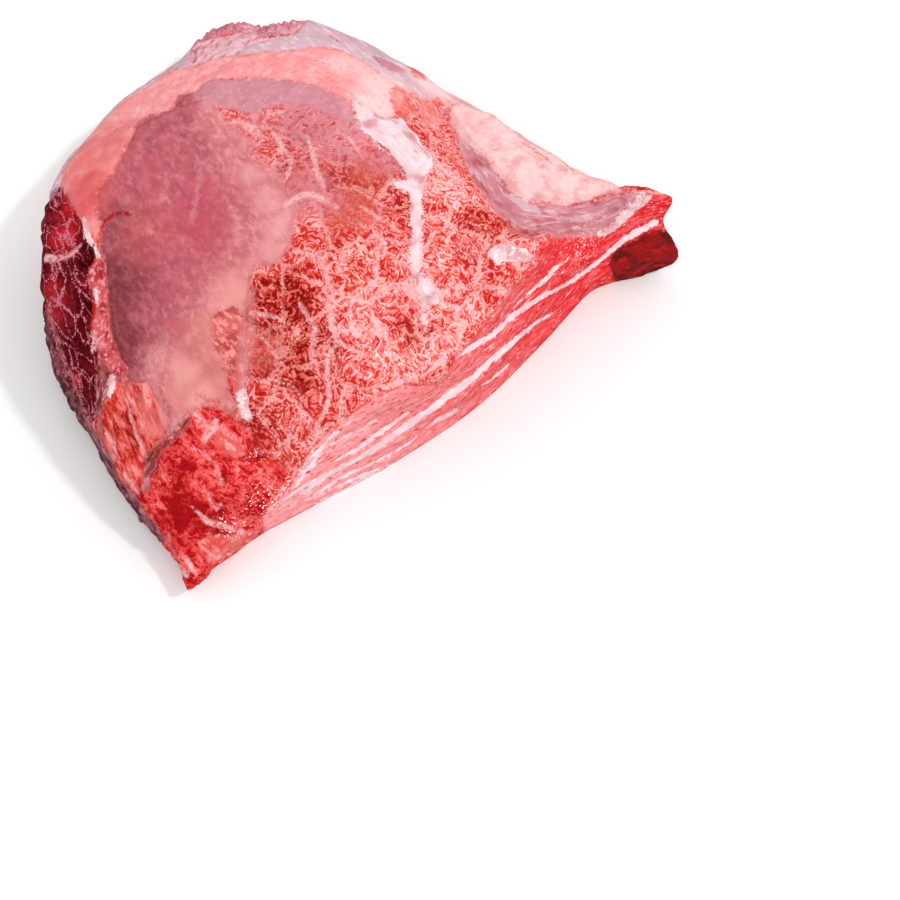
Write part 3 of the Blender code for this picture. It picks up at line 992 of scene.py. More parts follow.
SWELLS = (
    *COVERING,
    CUT_FACE,
    Swell(((Region.LOBE, 1.5),), 0.0, (Wave(0.4, 4.6, 21.0), Wave(0.3, 2.0, 22.0))),
    Swell(((Region.CREAM, 2.0),), 0.5, (Wave(0.5, 4.5, 9.0),)),
    Swell(((Region.FLAP, 0.8),), 0.3),
    Swell(((Region.FLAKE, 0.7),), 0.35, (Wave(0.3, 1.4, 12.0),)),
    Swell(((Region.GREY, 0.8),), 0.0, (Wave(0.25, 2.4, 24.0),)),
)
FLESH_WAVES = (Wave(0.25, 2.6, 19.0), Wave(0.3, 6.0, 20.0))


@dataclass
class CheekSurface:
    """The meat's surface: a finer copy of the solid, with its relief and its fields.

    Each lie is a direction that patterns are drawn out in, in degrees, and the share of each length
    that is left. A dome's height is in millimetres, and its middle is the share of it that neither
    stands out nor falls back.
    """

    view: Viewpoint
    chart: Chart
    bundles: Bundles
    node: str = "cheek"
    subdivisions: int = 2
    merge: float = 0.01
    quad_angle: float = 60.0
    quad_skew: float = 70.0
    sharp_angle: float = 60.0
    foot: float = 2.5
    cell: float = 2.15
    far_cell: float = 2.9
    cell_grows: tuple[float, float] = (-18.0, 22.0)
    side_cell: float = 3.0
    fold_cell: float = 2.0
    far_lobe_cell: tuple[float, float, float] = (2.2, 7.0, 5.0)
    muscle_angle: float = -66.0
    side_squeeze: float = 0.5
    fold_squeeze: float = 0.25
    strand_lie: tuple[float, float] = (60.0, 0.3)
    skin_lie: tuple[float, float] = (-50.0, 0.5)
    lobe_lie: tuple[float, float] = (-40.0, 0.4)
    fold_lie: tuple[float, float] = (-66.0, 0.3)
    muscle_waves: float = 0.8
    far_skin_squeeze: tuple[float, float, float] = (1.0, 0.3, 0.6)
    cut_squeeze: tuple[float, float, float] = (0.22, 1.0, 1.0)
    border_squeeze: float = 0.25
    cut_turn: float = 6.0
    cut_lean: float = 0.25
    hidden_heights: tuple[float, float] = (16.0, 6.0)
    hidden_edge: Wave = Wave(3.0, 11.0, 5.0)
    hidden_turn: tuple[float, float] = (-0.1, 0.5)
    hidden_right: float = 0.7
    unreached: float = 1000.0
    path_ragged: float = 0.25
    bundle_dome: float = 0.2
    bundle_middle: float = 0.7
    group_dome: float = 0.45
    group_middle: float = 0.8
    side_dome: float = 0.3
    far_lobe_dome: float = 0.5
    far_middle: float = 0.6
    pale_rise: float = 0.12
    deep_fall: float = 0.5
    seam_fall: float = 0.35
    low_edge: Wave = Wave(0.7, 3.6, 16.0)
    low_edge_fall: float = 0.1
    fields: dict[str, np.ndarray] = field(default_factory=dict)
    plainly: np.ndarray | None = None

    def cad_mesh(self) -> bmesh.types.BMesh:
        """Copies the solid, merged, as quads and without its flat underside.

        Returns:
            The coarse mesh.
        """
        mesh = bmesh.new()
        mesh.from_mesh(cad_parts[self.node].data)
        bmesh.ops.remove_doubles(mesh, verts=mesh.verts, dist=self.merge * MM)
        bmesh.ops.join_triangles(
            mesh,
            faces=mesh.faces,
            angle_face_threshold=math.radians(self.quad_angle),
            angle_shape_threshold=math.radians(self.quad_skew),
        )
        flat = [face for face in mesh.faces if all(v.co.z < self.merge * MM for v in face.verts)]
        bmesh.ops.delete(mesh, geom=flat, context="FACES")
        return mesh

    def subdivided(self) -> bpy.types.Object:
        """Makes the finer mesh, open below.

        Returns:
            The object that holds it.
        """
        coarse = self.cad_mesh()
        data = bpy.data.meshes.new("beef_cheek")
        coarse.to_mesh(data)
        coarse.free()
        piece = bpy.data.objects.new("beef_cheek", data)
        bpy.context.scene.collection.objects.link(piece)
        modifier = piece.modifiers.new("finer", "SUBSURF")
        modifier.levels = modifier.render_levels = self.subdivisions
        finer = bpy.data.meshes.new_from_object(
            piece.evaluated_get(bpy.context.evaluated_depsgraph_get())
        )
        piece.modifiers.clear()
        piece.data = finer
        bpy.data.meshes.remove(data)
        finer.name = "beef_cheek"
        return piece

    def solid_tree(self) -> BVHTree:
        """Makes the solid's surface ready for rays.

        Returns:
            The surface, in millimetres.
        """
        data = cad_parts[self.node].data
        corners = [vertex.co / MM for vertex in data.vertices]
        return BVHTree.FromPolygons(corners, [tuple(face.vertices) for face in data.polygons])

    def measure(self, points: np.ndarray, normals: np.ndarray) -> None:
        """Works out the fields of distances and tints.

        Args:
            points: The mesh's points in millimetres.
            normals: Their normals.
        """
        solid = self.solid_tree()
        flat, pixels = self.chart.flatten(points), self.view.project(points)
        uneven = Wave(0.6, 3.0, 0.0).read(points) + Wave(0.4, 1.3, 7.0).read(points)
        scale = self.view.pixel_size()

        def spread(region: Region, reading: np.ndarray, ragged: float) -> None:
            """Adds the distances to one more outline to a region's."""
            known = self.fields[region.value]
            self.fields[region.value] = np.minimum(known, reading + uneven * ragged)

        for region in Region:
            self.fields[region.value] = np.full(len(points), self.unreached)
        for patch in PATCHES:
            if patch.seen:
                reading = outline_distance(pixels, np.array(patch.outline, float)) * scale
            else:
                reading = outline_distance(flat, self.chart.lay(patch.outline, solid, self.view))
            spread(patch.region, reading, patch.ragged)
        for streak in STREAKS:
            widths = np.interp(np.linspace(0, 2, len(streak.path)), (0, 1, 2), streak.widths)
            if streak.seen:
                reading = path_distance(pixels, np.array(streak.path, float), widths) * scale
            else:
                path = self.chart.lay(streak.path, solid, self.view)
                reading = path_distance(flat, path, widths * scale)
            spread(streak.region, reading, self.path_ragged)
        for tint in Tint:
            self.fields[tint.value] = np.zeros(len(points))
        strayed = Wave(2.0, 5.0, 3.0).read(points) + Wave(1.2, 2.0, 8.0).read(points)
        for blot in BLOTS:
            middle = self.chart.lay((blot.middle,), solid, self.view)[0]
            away = np.hypot(*(flat - middle).T) + strayed
            reach = blot.reach * scale
            share = blot.share * smooth_step(reach, blot.core * reach, away)
            known = self.fields[blot.tint.value]
            self.fields[blot.tint.value] = np.maximum(known, share)
        self.fields["medium"] = 0.5 + Wave(0.5, 3.4, 31.0).read(points) + Wave(0.2, 1.6, 33.0).read(points)
        self.measure_hidden(points, normals)
        self.measure_grain(points)

    def measure_hidden(self, points: np.ndarray, normals: np.ndarray) -> None:
        """Keeps the cut on faces that look forward, and tints the sides that are out of view.

        Args:
            points: The mesh's points.
            normals: Their normals.
        """
        turned = self.cut_turn * (normals[:, 1] + self.cut_lean)
        self.fields[Region.CUT.value] = np.maximum(self.fields[Region.CUT.value], turned)
        low = smooth_step(*self.hidden_heights, points[:, 2] + self.hidden_edge.read(points))
        away = smooth_step(*self.hidden_turn, normals[:, 1] + normals[:, 0] * self.hidden_right)
        self.fields[Tint.FAR_SIDE.value] = low * away

    def measure_grain(self, points: np.ndarray) -> None:
        """Lays out the bundles: where each point lies, in cells of its own region.

        Args:
            points: The mesh's points.
        """
        along_depth = np.linspace(-80, 80, 321)
        length = self.cell + (self.far_cell - self.cell) * smooth_step(*self.cell_grows, along_depth)
        sums = np.concatenate([[0], np.cumsum(np.diff(along_depth) / length[1:])])
        rows = np.interp(points[:, 1], along_depth, sums)
        top = np.stack([points[:, 0] / self.cell, rows, points[:, 2] / self.cell], 1)
        lean = np.array(self.view.axes()[0])
        over = np.array((-lean[1], lean[0], 0.0))
        far_lobe = np.stack([points @ lean, points @ over, points[:, 2]], 1) / np.array(self.far_lobe_cell)
        grain, lie = top, points
        cells = (
            (Region.SIDE, self.drawn(points, self.muscle_angle, self.side_squeeze) / self.side_cell),
            (Region.FAR_LOBE, far_lobe),
            (Region.FOLDS, self.drawn(points, self.muscle_angle, self.fold_squeeze) / self.fold_cell),
        )
        calm = np.ones(len(points))
        for region, own in cells:
            distance = self.fields[region.value]
            grain = np.where((distance < 0)[:, None], own, grain)
            calm = np.minimum(calm, smooth_step(0.5, 1.4, np.abs(distance)))
        streaks = (
            (Region.FAR_SKIN, points * np.array(self.far_skin_squeeze)),
            (Region.STRANDS, self.drawn(points, *self.strand_lie)),
            (Region.CUT, points * np.array(self.cut_squeeze)),
            (Region.SKIN, self.drawn(points, *self.skin_lie)),
            (Region.LOBE, self.drawn(points, *self.lobe_lie) * self.muscle_waves),
            (Region.FOLDS, self.drawn(points, *self.fold_lie) * self.muscle_waves),
            *((region, self.along(points, region)) for region in (Region.VALLEY, Region.GREY, Region.VEIN)),
        )
        for region, own in streaks:
            lie = np.where((self.fields[region.value] < 0)[:, None], own, lie)
        covered = (
            Region.SKIN, Region.LENS, Region.SALMON, Region.CREAM, Region.VALLEY, Region.FAR_SKIN,
            Region.STRANDS, Region.TISSUE, Region.GREY, Region.VEIN, Region.FLAKE, Region.CUT,
        )
        nearest = np.minimum.reduce([self.fields[region.value] for region in covered])
        drawn = np.minimum.reduce([self.fields[region.value] for region, _ in (*streaks, *cells)])
        self.plainly = (nearest > 0) & (drawn > 0)
        self.fields["flesh_share"] = smooth_step(-0.5, 0.3, nearest) * calm
        self.fields["cover_share"] = smooth_step(-0.6, -2.0, nearest)
        self.fields["grain"] = self.bundles.drifted(grain)
        self.fields["lie"] = lie

    def drawn(self, points: np.ndarray, angle: float, squeeze: float) -> np.ndarray:
        """Squeezes places along a direction of the picture, so that patterns are drawn out there.

        Args:
            points: The places.
            angle: The direction in degrees, counted from the right towards the top.
            squeeze: The share of each length that is left.

        Returns:
            The places, as lengths across it, along it and away from the camera.
        """
        right, up, back = (np.array(axis) for axis in self.view.axes())
        turn = math.radians(angle)
        along = math.cos(turn) * right + math.sin(turn) * up
        across = math.cos(turn) * up - math.sin(turn) * right
        return np.stack([points @ across, squeeze * points @ along, squeeze * points @ back], 1)

    def along(self, points: np.ndarray, region: Region) -> np.ndarray:
        """Lays places out so that patterns run along a region's border.

        Args:
            points: The places.
            region: The region.

        Returns:
            The places, as lengths away from the border and over the picture.
        """
        right, up, _ = (np.array(axis) for axis in self.view.axes())
        flat = self.border_squeeze * np.stack([points @ right, points @ up], 1)
        return np.concatenate([self.fields[region.value][:, None], flat], 1)

    def store(self, data: bpy.types.Mesh) -> None:
        """Keeps the fields on the mesh.

        Args:
            data: The mesh.
        """
        for name, values in self.fields.items():
            kind = "FLOAT_VECTOR" if values.ndim == 2 else "FLOAT"
            held = data.attributes.get(name) or data.attributes.new(name, kind, "POINT")
            key = "vector" if values.ndim == 2 else "value"
            held.data.foreach_set(key, values.astype(np.float32).ravel())

    def read_bundles(self, piece: bpy.types.Object) -> None:
        """Reads the bundle pattern at the mesh's points into the fields.

        Args:
            piece: The object whose mesh has the grain.
        """
        tree = bpy.data.node_groups.new("bundle_reading", "GeometryNodeTree")
        for way in ("INPUT", "OUTPUT"):
            tree.interface.new_socket("Geometry", in_out=way, socket_type="NodeSocketGeometry")
        sheet = NodeSheet(tree)
        start, end = sheet.add("NodeGroupInput"), sheet.add("NodeGroupOutput")
        grain = sheet.add("GeometryNodeInputNamedAttribute", data_type="FLOAT_VECTOR")
        grain.inputs["Name"].default_value = "grain"
        passed = start.outputs[0]
        group_length = self.bundles.group_length
        split = sheet.add("ShaderNodeSeparateXYZ")
        nearest = sheet.cells(grain.outputs[0], group_length, "F1")
        sheet.feed(split.inputs[0], nearest.outputs["Color"])
        offset = sheet.vector("SUBTRACT", grain.outputs[0], nearest.outputs["Position"])
        readings = {
            # How far each point lies towards its group's side of painted shade.
            "group_shade": sheet.dot(offset, self.bundles.shaded_side),
            "group_turn": split.outputs[1],
            "edge": self.bundles.wire_walls(sheet, grain.outputs[0]),
            "group": self.bundles.wire_walls(sheet, grain.outputs[0], group_length),
            "group_tone": split.outputs[0],
        }
        for name, value in readings.items():
            keep = sheet.add("GeometryNodeStoreNamedAttribute", data_type="FLOAT", domain="POINT")
            keep.inputs["Name"].default_value = name
            sheet.feed(keep.inputs["Geometry"], passed)
            sheet.feed(keep.inputs["Value"], value)
            passed = keep.outputs[0]
        sheet.feed(end.inputs[0], passed)
        modifier = piece.modifiers.new("reading", "NODES")
        modifier.node_group = tree
        read = piece.evaluated_get(bpy.context.evaluated_depsgraph_get()).data
        for name in readings:
            values = np.zeros(len(read.vertices), np.float32)
            read.attributes[name].data.foreach_get("value", values)
            self.fields[name] = values.astype(float)
        piece.modifiers.clear()
        bpy.data.node_groups.remove(tree)

    def lay_strokes(self) -> None:
        """Turns the places that the flesh's strokes follow another way in each group of bundles."""
        grain, turn = self.fields["grain"], self.fields["group_turn"]
        angle = np.radians(self.bundles.stroke_angle + self.bundles.stroke_turn * (turn - 0.5))
        along = np.cos(angle) * grain[:, 0] + np.sin(angle) * grain[:, 1]
        across = np.cos(angle) * grain[:, 1] - np.sin(angle) * grain[:, 0]
        down = grain[:, 2] * self.bundles.depth_squeeze + self.bundles.group_shift * turn
        strokes = np.stack([across, self.bundles.stroke_squeeze * along, down], 1)
        self.fields["lie"] = np.where(self.plainly[:, None], strokes * self.cell, self.fields["lie"])

    def relief(self, points: np.ndarray) -> np.ndarray:
        """Works out how far each point stands out from the solid.

        Args:
            points: The mesh's points.

        Returns:
            One height in millimetres for each point.
        """

        def inside(region: Region, soft: float) -> np.ndarray:
            """Gives 1 well inside a region and 0 outside it."""
            return smooth_step(0.3 * soft, -soft, self.fields[region.value])

        def share(swell: Swell) -> np.ndarray:
            """Gives 1 well inside a swell's regions and 0 outside them."""
            return np.maximum.reduce([inside(region, soft) for region, soft in swell.regions])

        cover = np.maximum.reduce([share(swell) for swell in COVERING])
        cut = share(CUT_FACE)
        flesh = (1 - cover) * (1 - cut)
        dome = smooth_step(0.0, 0.34, self.fields["edge"])
        bundle = smooth_step(0.0, 0.16, self.fields["group"])
        push = flesh * self.bundle_dome * (dome - self.bundle_middle)
        push += flesh * self.group_dome * (bundle - self.group_middle)
        push += flesh * sum(wave.read(points) for wave in FLESH_WAVES)
        push += inside(Region.SIDE, 0.8) * (1 - cover) * self.side_dome * (dome - self.far_middle)
        push += inside(Region.FAR_LOBE, 0.8) * self.far_lobe_dome * (dome - self.far_middle)
        for swell in SWELLS:
            push += share(swell) * (swell.rise + sum(wave.read(points) for wave in swell.waves))
        push += inside(Region.PALE, 0.4) * flesh * self.pale_rise
        push -= self.fields[Tint.SHADED_PIT.value] * (1 - cut) * self.deep_fall
        push += cut * self.seam_fall * smooth_step(0.0, 2.2, self.fields[Region.SEAM.value])
        low = smooth_step(12.0, 3.0, points[:, 2]) * cut
        return push + low * (self.low_edge.read(points) - self.low_edge_fall)

    def displaced(
        self, data: bpy.types.Mesh, points: np.ndarray, normals: np.ndarray, push: np.ndarray
    ) -> None:
        """Moves the points and keeps them in the solid's box.

        Args:
            data: The mesh.
            points: Its points in millimetres.
            normals: Their normals.
            push: How far each one moves along its normal.
        """
        low, high = (np.array(corner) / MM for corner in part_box(self.node))
        grounded = smooth_step(0.0, self.foot, points[:, 2])
        moved = points + normals * (push * grounded)[:, None]
        margin = np.array((0.01, 0.01, 0.0))
        moved = np.clip(moved, low + margin, high - margin)
        data.vertices.foreach_set("co", (moved * MM).astype(np.float32).ravel())
        data.update()

    def closed(self, data: bpy.types.Mesh) -> None:
        """Fills the flat underside.

        Args:
            data: The mesh.
        """
        mesh = bmesh.new()
        mesh.from_mesh(data)
        rim = [edge for edge in mesh.edges if edge.is_boundary]
        for vertex in {vertex for edge in rim for vertex in edge.verts}:
            vertex.co.z = 0.0
        made = bmesh.ops.contextual_create(mesh, geom=rim)["faces"]
        for face in made:
            face.normal_update()
            if face.normal.z > 0:
                face.normal_flip()
        bmesh.ops.triangulate(mesh, faces=made)
        mesh.to_mesh(data)
        mesh.free()

    def build(self) -> bpy.types.Object:
        """Makes the piece, without its material.

        Returns:
            The piece.
        """
        piece = self.subdivided()
        data = piece.data
        count = len(data.vertices)
        points, normals = np.zeros(count * 3, np.float32), np.zeros(count * 3, np.float32)
        data.vertices.foreach_get("co", points)
        data.vertices.foreach_get("normal", normals)
        points = points.reshape(-1, 3).astype(float) / MM
        normals = normals.reshape(-1, 3).astype(float)
        self.measure(points, normals)
        self.store(data)
        self.read_bundles(piece)
        self.lay_strokes()
        self.store(data)
        self.displaced(data, points, normals, self.relief(points))
        self.closed(data)
        data.shade_smooth()
        data.set_sharp_from_angle(angle=math.radians(self.sharp_angle))
        return piece


FLESH_COLOURS = ("stroke", "lean", "core", "wall")


@dataclass(frozen=True)
class Flesh:
    """The flesh's colours in one zone, from its red strokes to its pale walls."""

    stroke: Colour
    lean: Colour
    core: Colour
    wall: Colour | None


FLESH = Flesh((196, 28, 22), (230, 86, 78), (242, 134, 130), (250, 194, 196))
LIGHT_FLESH = Flesh((214, 42, 34), (240, 100, 92), (247, 150, 146), (252, 204, 204))
BROWN_FLESH = Flesh((136, 8, 5), (194, 54, 42), (222, 100, 88), (242, 166, 164))
LOBE_FLESH = Flesh((164, 6, 14), (214, 42, 42), (238, 92, 90), (246, 164, 164))
FAR_LOBE_FLESH = Flesh((200, 106, 122), (216, 130, 144), (222, 138, 152), (240, 190, 200))
# The left side's crimson is its own darker muscle, darkened further with painted shade for the side turned
# from the light.
SHADED_SIDE_FLESH = Flesh((58, 2, 6), (98, 8, 16), (128, 26, 38), (196, 110, 126))
RED_SIDE_FLESH = Flesh((150, 8, 18), (190, 24, 34), (214, 50, 58), None)


@dataclass(frozen=True)
class FleshFinish:
    """Muscle cut across its bundles: pale walls, and red strokes beside them.

    The flesh's tone runs from 0 for the strokes to 1 for the walls; the ramp says where each of
    its four colours gives way to the next. Widths are in cells and pairs are starts and ends.
    """

    worm_length: float = 0.62
    bend: float = 0.55
    bend_length: float = 0.7
    wall_fray: float = 0.4
    wall_reach: float = 2.2
    crescent: float = 0.6
    # Painted shade on one side of each group is set by its range, its share in the commas and its tone
    # below.
    shade_range: tuple[float, float] = (-0.7, 1.7)
    comma_shade: float = 0.05
    comma_range: tuple[float, float] = (0.5, 0.68)
    uneven_tone: float = 0.34
    own_tone: float = 0.12
    shade_tone: float = -0.12
    core_tone: float = 0.14
    core_range: tuple[float, float] = (0.16, 0.34)
    vein_range: tuple[float, float] = (0.012, 0.062)
    vein_tone: tuple[float, float] = (0.5, 0.68)
    ramp: tuple[tuple[float, float], ...] = ((0.0, 0.36), (0.3, 0.68), (0.62, 1.0))
    dome: float = 0.08
    dent: float = -0.02
    fine_height: float = 0.1

    def group(self, bundles: Bundles) -> bpy.types.NodeTree:
        """Makes the node group.

        Args:
            bundles: The pattern of the bundles.

        Returns:
            The group, which turns the grain and the region's colours into a surface.
        """
        sheet, given, out = NodeSheet.group("flesh", {
            "NodeSocketVector": ("Grain",),
            "NodeSocketColor": tuple(colour.title() for colour in FLESH_COLOURS),
            "NodeSocketFloat": (
                "Fine", "Runs", "Medium", "Group", "Group tone", "Wall width", "Walls", "Strokes",
                "Ground", "Unevenness", "Veins", "Commas", "Group shade",
            ),
        }, {"Colour": "NodeSocketColor", "Height": "NodeSocketFloat"})
        bend = sheet.waves(given["Grain"], self.bend_length, 1.0).outputs["Color"]
        bend = sheet.vector("SCALE", sheet.vector("SUBTRACT", bend, (0.5, 0.5, 0.5)), self.bend)
        grain = sheet.vector("ADD", given["Grain"], bend)
        edge = bundles.wire_walls(sheet, grain)
        nearest = sheet.cells(grain, 1.0, "F1")
        split = sheet.add("ShaderNodeSeparateXYZ")
        sheet.feed(split.inputs[0], nearest.outputs["Color"])
        worm = sheet.waves(grain, self.worm_length, 1.0).outputs["Fac"]
        frayed = sheet.plus(edge, sheet.line(given["Fine"], self.wall_fray, -self.wall_fray / 2))
        width = sheet.times(given["Wall width"], sheet.line(given["Medium"], 0.9, 0.5))
        wall = sheet.fall(frayed, 0.0, sheet.times(width, self.wall_reach))

        # Crescents: strokes on one side of each cell, painted shade as if its dome were lit from the other
        # side, broken up by the worm noise.
        middle = sheet.vector("SUBTRACT", grain, nearest.outputs["Position"])
        lee = sheet.line(worm, 1.1, sheet.plus(sheet.dot(middle, bundles.shaded_side), -0.55))
        near = sheet.step(frayed, sheet.times(width, 0.7), sheet.plus(width, 0.03))
        far = sheet.fall(frayed, sheet.plus(width, 0.12), sheet.plus(width, 0.26))
        crescent = sheet.times(sheet.times(near, far), sheet.step(lee, -0.08, 0.14))
        # Each group is darker on one side and has more commas there: painted shade.
        shaded_group = sheet.step(given["Group shade"], *self.shade_range)
        commas = sheet.step(sheet.line(shaded_group, self.comma_shade, given["Commas"]), *self.comma_range)
        strokes = sheet.math("MAXIMUM", sheet.times(crescent, self.crescent), commas)

        uneven = sheet.line(given["Fine"], 0.9, given["Medium"])
        uneven = sheet.line(given["Runs"], 1.4, sheet.plus(uneven, -1.65))
        uneven = sheet.times(uneven, given["Unevenness"])
        own = sheet.line(sheet.plus(split.outputs[0], given["Group tone"]), self.own_tone, -self.own_tone)
        own = sheet.line(shaded_group, self.shade_tone, own)
        own = sheet.line(sheet.step(frayed, *self.core_range), self.core_tone, own)
        tone = sheet.plus(given["Ground"], sheet.line(uneven, self.uneven_tone, own))
        tone = sheet.line(wall, given["Walls"], tone)
        tone = sheet.math("SUBTRACT", tone, sheet.times(strokes, given["Strokes"]))
        thick = sheet.line(given["Fine"], 0.16, sheet.times(given["Medium"], 0.06))
        thick = sheet.plus(given["Group"], sheet.plus(thick, -0.11))
        vein = sheet.times(sheet.fall(thick, *self.vein_range), given["Veins"])
        tone = sheet.blend(vein, tone, sheet.line(given["Fine"], *self.vein_tone))
        colour = given["Stroke"]
        for limits, name in zip(self.ramp, ("Lean", "Core", "Wall")):
            colour = sheet.mix(sheet.step(tone, *limits), colour, given[name])
        sheet.feed(out["Colour"], colour)
        dome = sheet.times(sheet.step(edge, 0.0, 0.45), self.dome)
        dents = sheet.line(strokes, self.dent, sheet.times(given["Fine"], self.fine_height))
        sheet.feed(out["Height"], sheet.plus(dome, dents))
        return sheet.tree


@dataclass(frozen=True)
class Cover:
    """The finish of one kind of surface that lies over the flesh.

    Spots follow coarse waves and flecks follow fine ones; each pair of numbers is where they
    start and where they are full.
    """

    region: Region
    base: Colour
    spots: Colour
    flecks: Colour
    spread: tuple[float, float] = (0.42, 0.66)
    bits: tuple[float, float] = (0.54, 0.68)
    soft: float = 0.12
    frayed: float = 0.5
    rough: float = 0.4
    share: float = 1.0
    patchy: float = 0.0
    within: Region | None = None

    @staticmethod
    def group() -> bpy.types.NodeTree:
        """Makes the node group that lays a cover over what is there.

        Returns:
            The group, which all covers share.
        """
        sheet, given, out = NodeSheet.group("cover", {
            "NodeSocketColor": ("Under", "Base", "Spots", "Flecks"),
            "NodeSocketFloat": (
                "Under roughness", "Distance", "Soft", "Frayed", "Share", "Patchy", "Roughness", "Waves",
                "Runs", "Small", "Fine", "Spots start", "Spots full", "Flecks start", "Flecks full",
            ),
        }, {"Colour": "NodeSocketColor", "Roughness": "NodeSocketFloat"})
        fray = sheet.line(given["Small"], 2.0, sheet.plus(given["Fine"], -1.5))
        fray = sheet.times(fray, given["Frayed"])
        reading = sheet.plus(given["Distance"], fray)
        inner = sheet.times(given["Soft"], -1.0)
        gaps = sheet.times(sheet.fall(given["Small"], 0.38, 0.52), given["Patchy"])
        share = sheet.math("SUBTRACT", given["Share"], gaps, clamp=True)
        mask = sheet.times(sheet.fall(reading, inner, given["Soft"]), share)
        spots = sheet.step(given["Waves"], given["Spots start"], given["Spots full"])
        flecks = sheet.step(given["Runs"], given["Flecks start"], given["Flecks full"])
        own = sheet.mix(spots, given["Base"], given["Spots"])
        own = sheet.mix(flecks, own, given["Flecks"])
        sheet.feed(out["Colour"], sheet.mix(mask, given["Under"], own))
        rough = sheet.line(given["Runs"], 0.3, given["Roughness"])
        rough = sheet.blend(mask, given["Under roughness"], sheet.math("SUBTRACT", rough, 0.15))
        sheet.feed(out["Roughness"], rough)
        return sheet.tree


COVERS = (
    Cover(
        Region.VALLEY, (206, 130, 140), (182, 94, 104), (234, 186, 194),
        (0.3, 0.85), (0.44, 0.74), 1.4, 2.6,
    ),
    Cover(
        Region.FAR_SKIN, (210, 174, 186), (224, 164, 172), (240, 214, 220),
        (0.4, 0.8), (0.46, 0.76), 1.2, 2.6,
    ),
    Cover(
        Region.STRANDS, (230, 172, 182), (240, 192, 202), (210, 112, 126),
        (0.4, 0.6), (0.5, 0.64), 0.5, 1.6,
    ),
    Cover(
        Region.SALMON, (246, 150, 150), (250, 176, 178), (236, 130, 130),
        (0.3, 0.8), (0.46, 0.72), 0.8, 1.8,
    ),
    Cover(
        Region.CREAM, (240, 194, 193), (230, 158, 158), (250, 214, 212),
        (0.3, 0.9), (0.44, 0.76), 0.8, 1.6,
    ),
    Cover(
        Region.FLAP, (238, 122, 116), (226, 84, 80), (250, 170, 166),
        (0.35, 0.7), (0.5, 0.6), 0.5, 1.4, share=0.8,
    ),
    Cover(
        Region.SKIN, (190, 90, 101), (172, 78, 90), (204, 112, 122),
        (0.3, 0.75), (0.4, 0.7), 1.2, 2.4,
    ),
    Cover(
        Region.BLUSH, (212, 124, 130), (194, 104, 112), (226, 144, 148),
        (0.3, 0.8), (0.42, 0.68), 6.0, 6.0, within=Region.SKIN,
    ),
    Cover(
        Region.STAIN_AND_SHADE, (212, 86, 78), (178, 44, 38), (240, 142, 136),
        (0.42, 0.6), (0.5, 0.6), 0.9, 3.0, share=0.8,
    ),
    # Stains, with painted shade where their streaks run under the cream fat and along the crease by the
    # flap.
    Cover(
        Region.LENS, (208, 136, 149), (198, 124, 138), (224, 154, 164),
        (0.2, 0.9), (0.4, 0.8), 1.2, 2.0,
    ),
    Cover(
        Region.TISSUE, (212, 88, 94), (182, 48, 54), (236, 142, 146),
        (0.42, 0.6), (0.5, 0.6), 0.3, 0.8,
    ),
    Cover(
        Region.GREY, (160, 70, 72), (116, 30, 32), (214, 142, 146),
        (0.4, 0.62), (0.48, 0.6), 0.8, 2.2, share=0.85,
    ),
    # Painted shade: the lobe under the right tip is coloured darker than its muscle for the tip's shadow
    # over it.
    Cover(
        Region.DARK, (146, 0, 2), (100, 0, 1), (182, 10, 14),
        (0.35, 0.7), (0.5, 0.66), 0.5, 1.0, rough=0.85,
    ),
    # Painted shade: the underside's edge along the lower left is coloured darker for the shade beneath the
    # meat.
    Cover(Region.SHADED_FOOT, (128, 58, 66), (84, 36, 44), (172, 104, 112), (0.4, 0.6), (0.5, 0.6), 0.25, 0.6),
    Cover(
        Region.HEM, (222, 138, 142), (212, 120, 126), (236, 164, 166),
        soft=1.6, frayed=1.0, share=0.7,
    ),
    Cover(
        Region.NET, (222, 150, 156), (214, 138, 146), (230, 166, 172),
        soft=0.9, frayed=2.2, share=0.42,
    ),
    Cover(
        Region.PALE, (246, 184, 186), (238, 162, 166), (252, 212, 210),
        soft=0.4, frayed=1.1, share=0.8, patchy=0.5,
    ),
    Cover(
        Region.VEIN, (234, 198, 204), (212, 142, 148), (246, 222, 227),
        (0.42, 0.8), (0.4, 0.72), 0.4, 2.4,
    ),
    Cover(
        Region.FLAKE, (238, 200, 204), (224, 160, 168), (250, 230, 230),
        (0.4, 0.6), (0.48, 0.6), 0.3, 1.6,
    ),
    Cover(
        Region.SEAM, (250, 222, 228), (246, 200, 206), (254, 236, 240),
        soft=0.15, frayed=0.6, within=Region.CUT,
    ),
    # Painted shade: slits are coloured dark red for the shade in them; the relief has no groove there.
    Cover(Region.SHADED_SLIT, (186, 0, 0), (150, 0, 2), (206, 30, 28), soft=0.3, frayed=0.9, rough=0.5),
)


